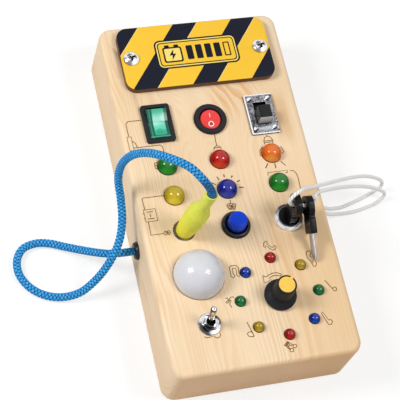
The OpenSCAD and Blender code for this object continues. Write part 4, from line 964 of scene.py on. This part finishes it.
def rivetFinish():
    f = Finish("plateRivets")
    x, y = f.around(switchRow["plateAt"])
    dx = abs(x) - 5.2
    low = abs(y) - 8.8
    sideways = dx * ((x > 0) * 2.0 - 1.0)
    upward = low * ((y > 0) * 2.0 - 1.0)
    # painted highlight and painted shade: each rivet bright on one side and dark on the other
    dark = f.ramp(sideways - upward * 1.6, 0.2, 0.9)
    f.base = f.mix(dark, (0.94, 0.94, 0.95), (0.05, 0.05, 0.06))
    f.set(colour=f.base, metallic=1.0, roughness=f.ramp(f.noise(1.5), 0.3, 0.7, 0.1, 0.2))
    return f


def slideKnobFinish():
    f = Finish("slideKnobBlack")
    y = f.y - switchRow["slideKnobEnd"]
    grain = f.noise(1.6, 3.0, 0.6)
    f.base = f.mix(f.ramp(grain), srgb(14, 14, 15), srgb(26, 26, 27))
    # painted reflection: the knob's lower face light grey, lighter towards the top
    face = (y < 0.14) * f.ramp(f.z, 35.4, 37.0)
    f.paint(face, f.mix(f.ramp(f.z, 37.0, 43.0), srgb(150, 152, 156), srgb(206, 207, 210)))
    f.set(colour=f.base, specular=0.3, roughness=f.ramp(grain, 0.3, 0.7, 0.3, 0.4))
    f.bump(grain, 0.01)
    return f


for row in (
        ("green_rocker_housing", "green_switch_bezel", blackMatt, "board", "black_matt", 0.35),
        ("green_rocker", "green_switch_rocker", greenFinish(), "green_rocker_body", "rocker_green", 0.35),
        ("red_rocker_housing", "red_switch_bezel", blackMatt, "board", "black_matt", 0.3),
        ("red_rocker", "red_switch_rocker", redFinish(), "red_rocker_body", "rocker_red", 0.25),
        ("slide_plate", "slide_switch_plate", plateFinish(), "board", "chrome", 0.35),
        ("slide_rivets", "slide_switch_rivets", rivetFinish(), "board", "steel", 0.22),
        ("slide_knob", "slide_switch_knob", slideKnobFinish(), "slide_body", "black_matt", 0.25)):
    dress(*row)
print("upper switches made")


# lamps
lampColours = {  # node: (deep, bright, painted glow at the lower edge, slot)
    "lamp_green_left": ((2, 72, 10), (16, 128, 26), (60, 170, 60), "lens_green"),
    "lamp_red": ((120, 2, 2), (196, 12, 6), (240, 84, 44), "lens_red"),
    "lamp_orange": ((196, 66, 2), (240, 120, 22), (255, 176, 84), "lens_orange"),
    "lamp_yellow": ((150, 128, 4), (214, 186, 20), (250, 226, 84), "lens_yellow"),
    "lamp_blue": ((2, 8, 80), (10, 30, 158), (84, 92, 200), "lens_blue"),
    "lamp_green_right": ((2, 72, 10), (16, 128, 26), (60, 170, 60), "lens_green"),
    "ring_lamps_red": ((96, 0, 6), (176, 8, 16), (214, 44, 40), "lens_red"),
    "ring_lamps_yellow": ((112, 88, 2), (176, 146, 12), (216, 190, 60), "lens_yellow"),
    "ring_lamps_green": ((0, 62, 28), (0, 112, 52), (30, 150, 88), "lens_green"),
    "ring_lamps_blue": ((0, 22, 96), (2, 50, 160), (30, 94, 208), "lens_blue"),
}

lampShape = {  # millimetres
    "large": 5.3,  # radius of a large lens
    "small": 2.85,
    "corner": 3.45,  # from a small lens's middle to the corner of its pair's box
    "pair": 14,  # a wider box than this holds a pair of small lenses
}


def lensFinish(name, node, deep, bright, paintedGlow):
    f = Finish(name)
    low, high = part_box(node)
    middles = [(low + high) * 500]  # one lens, or two at opposite corners of the box
    wide = max(high.x - low.x, high.y - low.y) * 1000
    radius = lampShape["large"]
    if wide > lampShape["pair"]:
        radius = lampShape["small"]
        corner = lampShape["corner"]
        ends = (low.y * 1000 + corner, high.y * 1000 - corner)
        if "red" in node or "blue" in node:
            ends = ends[::-1]
        middles = [Vector((low.x * 1000 + corner, ends[0])), Vector((high.x * 1000 - corner, ends[1]))]
    paintedGlowSpots = []
    crowns = []  # the polished crowns, which carry the glints
    for m in middles:
        x, y = f.around(m)
        reach = away(x, y)
        crowns.append(f.soft(reach, radius * 0.7, radius * 0.4))
        # painted glow on the lower side of each lens
        paintedGlowSide = f.soft(y + x * 0.25, -radius * 0.45, -radius * 0.98)
        paintedGlowSpots.append(paintedGlowSide * (reach < radius + 0.8))
    lower = paintedGlowSpots[0].most(paintedGlowSpots[-1])
    crown = crowns[0].most(crowns[-1])
    cloud = f.noise(0.5, 2.0)
    # painted shade darker towards the base, and painted light brighter towards the top
    f.base = f.mix(f.soft(f.z, faceHeight, faceHeight + 1.6), shade(srgb(*deep), 0.4), srgb(*deep))
    f.paint(f.soft(f.z, faceHeight + 0.6, faceHeight + 0.4 + radius) * f.ramp(cloud, 0.2, 0.8, 0.6, 1.0),
            srgb(*bright))
    # painted glow at the lower edge
    f.paint(lower * f.ramp(f.z, faceHeight + 0.2, faceHeight + 1.2) * 0.75, srgb(*paintedGlow))
    f.set(colour=f.base, coat=crown, coatRoughness=0.05, specular=0.1)
    f.rough(cloud, 0.06, 0.1)
    f.bump(f.noise(1.5, 2.0), 0.003)
    return f


for node, (deep, bright, paintedGlow, slot) in lampColours.items():
    finish = lensFinish(node.replace("_", "") + "Finish", node, deep, bright, paintedGlow)
    dress(node, node.replace("lamp", "lens"), finish, "board", slot, angle=40, flatten=0)
print("lamps made")


# push button and dome lamp
pushButton = {
    "blue": srgb(6, 64, 214),
    "travel": 0.003,  # metres
}


def makeButton():
    blue = plastic("capBlue", pushButton["blue"], 0.26, 0.002, 3.0, spread=0.04, specular=0.2)
    dress("button_housing", "button_bezel", blackGloss, "board", "black_plastic", 0.6)
    dress("button_cap", "button_blue_cap", blue, "button_body", "cap_blue", 0.9, 4)
    spring = polish("button_spring", "button_return_spring", flatten=0)
    finishWith(spring, satinSteel)
    settle(spring, "board", "steel", "button_spring")
    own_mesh(spring)


makeButton()


def domeFinish():
    f = Finish("domeWhite")
    cloud = f.noise(0.12, 3.0)
    f.base = f.mix(f.ramp(cloud), srgb(216, 216, 223), srgb(222, 222, 229))
    # painted shade: darker towards the lower edge
    f.paint(f.ramp(f.z, faceHeight + 1.4, faceHeight), srgb(176, 164, 158))
    f.set(colour=f.base, coat=0.3, coatRoughness=0.05, specular=0.35)
    f.rough(cloud, 0.2, 0.28)
    f.bump(f.noise(0.9, 2.0), 0.006)
    return f


dress("dome_lens", "dome_lamp", domeFinish(), "board", "dome_white", angle=40, flatten=0)
print("button and dome made")


# toggle switch
toggleSwitch = {
    "middle": (-26.2, -73.8),
    "bore": 2.32,  # radius of the mouth round the lever, painted near black as painted shade
    "neck": (39.6, 2.6),  # height and radius within which the lever stands in shade
    "tip": (48.6, 49.6),  # heights between which its end begins
}


def leverFinish():
    f = Finish("leverChrome")
    x, y = f.around(toggleSwitch["middle"])
    reach = away(x, y)
    streak = f.streaks(2.4, 0.3, 0.3, 2.0, 0.6)
    # painted reflection: dark and bright streaks along the lever
    f.base = f.mix(f.ramp(streak, 0.4, 0.6), (0.24, 0.24, 0.25), (0.86, 0.86, 0.88))
    # painted reflection: its sides painted near black
    side = f.ramp(x, 0.7, 1.2).most(f.ramp(x, -0.95, -1.35))
    f.paint(side * 0.8, (0.05, 0.05, 0.055))
    # painted highlight: a bright ring round its tip, dark inside and out
    tip = f.ramp(f.z, *toggleSwitch["tip"])
    cap = away(x, y - 2.5)
    f.paint(tip, f.mix(f.ramp(abs(cap - 0.75), 0.25, 0.5), (0.9, 0.9, 0.92), (0.03, 0.03, 0.033)))
    height, radius = toggleSwitch["neck"]
    f.paint((f.z < height) * (reach < radius), (0.01, 0.01, 0.011))
    f.set(colour=f.base, metallic=1.0, roughness=f.ramp(streak, 0.3, 0.7, 0.12, 0.22))
    f.bump(streak, 0.004)
    return f


def makeToggle():
    middle = toggleSwitch["middle"]
    # bushing, nut and washer in chrome with painted reflection
    turned = chromeWithPaintedReflection("toggleChrome", middle, 2.0, 2.4, 0.05, toggleSwitch["bore"])
    washer = chromeWithPaintedReflection("washerChrome", middle, 2.0, 3.6, 0.08)
    for node, name, finish, body, bevel in (
            ("toggle_housing", "toggle_bushing", turned, "board", 0.12),
            ("toggle_washer", "toggle_round_washer", washer, "board", 0.41),
            ("toggle_nut", "toggle_hex_nut", turned, "board", 0.3),
            ("toggle_lever", "toggle_bat_lever", leverFinish(), "toggle_body", 0.1)):
        dress(node, name, finish, body, "chrome", bevel, 2, 32, 0.3)


makeToggle()
print("toggle made")


# rotary knob
def capFinish():
    f = Finish("capYellow")
    cloud = f.noise(0.6, 3.0)
    f.set(colour=f.mix(f.ramp(cloud), srgb(250, 200, 78), srgb(255, 210, 92)), specular=0.25)
    f.rough(cloud, 0.5, 0.62)
    f.bump(f.noise(3.0, 2.0), 0.02)
    return f


knobBlack = plastic("knobBlack", srgb(37, 38, 42), 0.4, 0.004, spread=0.2, specular=0.08)
dress("knob", "rotary_knob", knobBlack, "knob_body", "black_plastic", 0.18, 2, 34, 0.3)
dress("knob_cap", "rotary_knob_cap", capFinish(), "knob_body", "cap_yellow", 0.15)
print("knob made")


# key lock and keys
keyLock = {
    "middle": (28.2, -23.0),
    "phase": -2.5,  # turn of the painted bright reflection on its rim
}


def makeLock():
    rim = chromeWithPaintedReflection("lockChrome", keyLock["middle"], 1.0, keyLock["phase"], 0.06, rough=0.25)
    for node, name, finish, body, slot, bevel in (
            ("lock_housing", "lock_bezel", rim, "board", "chrome", 0.3),
            ("lock_core", "lock_barrel", blackDeep, "lock_body", "black_plastic", 0.55),
            ("key_blade", "key_blade_bright", satinSteel, "lock_body", "steel", 0.91),
            ("key_head", "key_head_black", blackDeep, "lock_body", "black_plastic", 0.35),
            ("spare_key_blade", "spare_key_blade_bright", satinSteel, "board", "steel", 0.91),
            ("spare_key_head", "spare_key_head_black", blackDeep, "board", "black_plastic", 0.35)):
        dress(node, name, finish, body, slot, bevel, 3, 34, 0.3)


makeLock()
print("lock and keys made")


# the pieces held inside, and the back
def plywoodFinish():
    f = Finish("plywoodBack")
    grain = f.streaks(1.1, 0.03, 1.1, 3.0, 0.6)
    plies = f.ramp(abs((f.z % 0.9) - 0.45), 0.2, 0.3)
    f.base = f.mix(f.ramp(grain, 0.35, 0.65), srgb(226, 198, 154), srgb(208, 174, 124))
    f.paint(plies * 0.25, srgb(170, 132, 88))
    f.set(colour=f.base, roughness=f.ramp(grain, 0.3, 0.7, 0.6, 0.75))
    f.bump(grain, 0.05)
    return f


def boardFinish():
    f = Finish("circuitGreen")
    lanes = f.ramp(abs((f.x % 2.54) - 1.27), 0.32, 0.2)
    breaks = f.ramp(f.streaks(0.4, 0.09, 0.4, 0.0), 0.5, 0.54)
    f.base = f.mix(lanes * breaks * 0.7, srgb(18, 92, 46), srgb(52, 134, 74))
    f.set(colour=f.base, coat=0.4, coatRoughness=0.15, roughness=f.ramp(f.noise(1.5), 0.3, 0.7, 0.35, 0.5))
    f.bump(lanes * breaks, 0.03)
    return f


def cellFinish():
    f = Finish("cellSleeve")
    band = f.ramp(abs(f.y - 64.0), 6.0, 6.4)
    cloud = f.noise(0.6, 3.0)
    f.base = f.mix(band, srgb(196, 200, 204), f.mix(f.ramp(cloud), srgb(52, 116, 84), srgb(64, 132, 96)))
    f.set(colour=f.base, coat=0.4, coatRoughness=0.1, roughness=f.ramp(cloud, 0.3, 0.7, 0.28, 0.38))
    f.bump(cloud, 0.01)
    return f


def screwFinish():
    f = Finish("coverScrewChrome")
    low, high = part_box("cover_screws")
    half = (high.x - low.x) * 500 - (high.y - low.y) * 500
    middle = (low + high) * 500
    right = f.x > middle.x
    x = f.x - middle.x - (right * 2.0 - 1.0) * half
    y = f.y - middle.y
    angle = y.bearing(x)
    reach = away(x, y)
    sway = (f.noise(0.9, 2.0) - 0.5) * 2.6
    # painted reflection: dark sectors on each head
    dark = f.ramp((angle * 3.0 + sway + 1.0).sine(), 0.0, 0.6) * f.ramp(reach, 3.1, 2.6)
    # painted shade along one side of its rim
    rim = f.ramp((angle - 2.2).sine(), 0.55, 0.85) * f.ramp(reach, 2.7, 3.0)
    # painted shade in the cross recess
    cross = f.ramp(abs(x + y * 0.3).least(abs(y - x * 0.3)), 0.62, 0.4) * f.ramp(reach, 2.0, 1.7)
    f.base = f.mix(dark * 0.85, (0.86, 0.86, 0.88), (0.12, 0.12, 0.13))
    f.paint(rim * 0.8, (0.1, 0.1, 0.11))
    f.paint(cross, (0.02, 0.02, 0.022))
    f.set(colour=f.base, metallic=1.0, roughness=f.ramp(sway, -1.0, 1.0, 0.12, 0.22))
    f.bump(f.noise(2.0, 2.0), 0.003)
    return f


def dressInside():
    white = plastic("whiteNylon", srgb(232, 232, 228), 0.5, 0.01, 3.0, spread=0.06)
    circuit = boardFinish()
    dressing = {
        "back_panel": plywoodFinish(), "back_screws": satinSteel, "cover_screws": screwFinish(),
        "cover_inserts": softBrass, "battery_holder": blackMatt, "battery_cells": cellFinish(),
        "battery_contacts": satinSteel, "main_board": circuit, "board_spacers": white,
        "board_screws": satinSteel, "switch_terminals": softBrass, "slide_housing": blackMatt,
        "button_nut": blackMatt, "dome_board": circuit, "pot_housing": satinSteel, "pot_nut": satinSteel,
        "pot_shaft": softBrass, "lock_nut": satinSteel, "jack_socket": white, "plug_pin": brightChrome,
    }
    for name, finish in dressing.items():
        finishWith(nodes[name], finish)
    for name, slot, bevel in (("back_panel", "plywood", 0.2), ("cover_screws", "chrome", 0.12),
                              ("back_screws", "steel", 0.1)):
        dress(name, name + "_eased", dressing[name], "board", slot, bevel, 2, flatten=0.3)


dressInside()
print("inside and back dressed")


# floor, light and background
studio = {
    "skyStrength": 0.3,
    "sky": (1.0, 1.0, 1.0),
    "floor": {"size": 8, "location": (0, 0, -0.0001)},  # metres, a hair below the part
    "floorOwn": 0.36,  # what the floor shows of its light, the rest is plain white
    "white": 1.04,  # the floor's brightness where no shadow falls
    "boxes": (
        {"name": "leftBox", "toward": (-0.69, 0.15, 0.71), "far": 0.9, "size": (0.26, 0.30), "power": 4.3},
        {"name": "rightBox", "toward": (0.43, -0.19, 0.88), "far": 0.9, "size": (0.25, 0.28), "power": 2.8},
    ),
}


def makeStudio():
    bpy.ops.mesh.primitive_plane_add(**studio["floor"])
    floor = bpy.context.object
    floor.name = "studio_floor"
    f = Finish("floorWhite")
    f.set(colour=f.mix(f.noise(0.004, 2.0), (0.84, 0.84, 0.84), (0.87, 0.87, 0.87)), roughness=0.9)
    seen, = f.outputs("ShaderNodeLightPath", "Is Camera Ray")
    lit = f.add("ShaderNodeBsdfDiffuse", {}, {"Color": (studio["floorOwn"],) * 3})
    white = f.add("ShaderNodeEmission", {},
                  {"Color": (1, 1, 1), "Strength": studio["white"] - studio["floorOwn"]})
    both = f.add("ShaderNodeAddShader", {}, {0: lit, 1: white})
    mixed = f.add("ShaderNodeMixShader", {}, {0: seen, 1: Wire(f, f.shader.outputs[0]), 2: both})
    f.feed(f.tree.nodes["Material Output"].inputs["Surface"], mixed)
    finishWith(floor, f)

    world = bpy.data.worlds.new("studioSky")
    bpy.context.scene.world = world
    world.use_nodes = True
    w = Nodes(world.node_tree)
    sky = w.tree.nodes["Background"]
    w.feed(sky.inputs["Color"], studio["sky"])
    w.feed(sky.inputs["Strength"], studio["skyStrength"])
    white = w.add("ShaderNodeBackground", {}, {"Color": (1, 1, 1), "Strength": 1.0})
    camera, glossy, through = w.outputs("ShaderNodeLightPath", "Is Camera Ray", "Is Glossy Ray",
                                        "Is Transmission Ray")
    seen = camera.most(glossy).most(through)
    mixed = w.add("ShaderNodeMixShader", {}, {0: seen, 1: Wire(w, sky.outputs[0]), 2: white})
    w.feed(w.tree.nodes["World Output"].inputs["Surface"], mixed)

    for box in studio["boxes"]:
        data = bpy.data.lights.new(box["name"], "AREA")
        data.shape = "RECTANGLE"
        data.size, data.size_y = box["size"]
        data.energy = box["power"]
        lamp = link(bpy.data.objects.new(box["name"], data))
        toward = Vector(box["toward"]).normalized()
        lamp.location = toward * box["far"]
        lamp.rotation_euler = toward.to_track_quat("Z", "Y").to_euler()


makeStudio()
bpy.context.scene.view_settings.view_transform = "Standard"
print("studio made")

clearSelection()
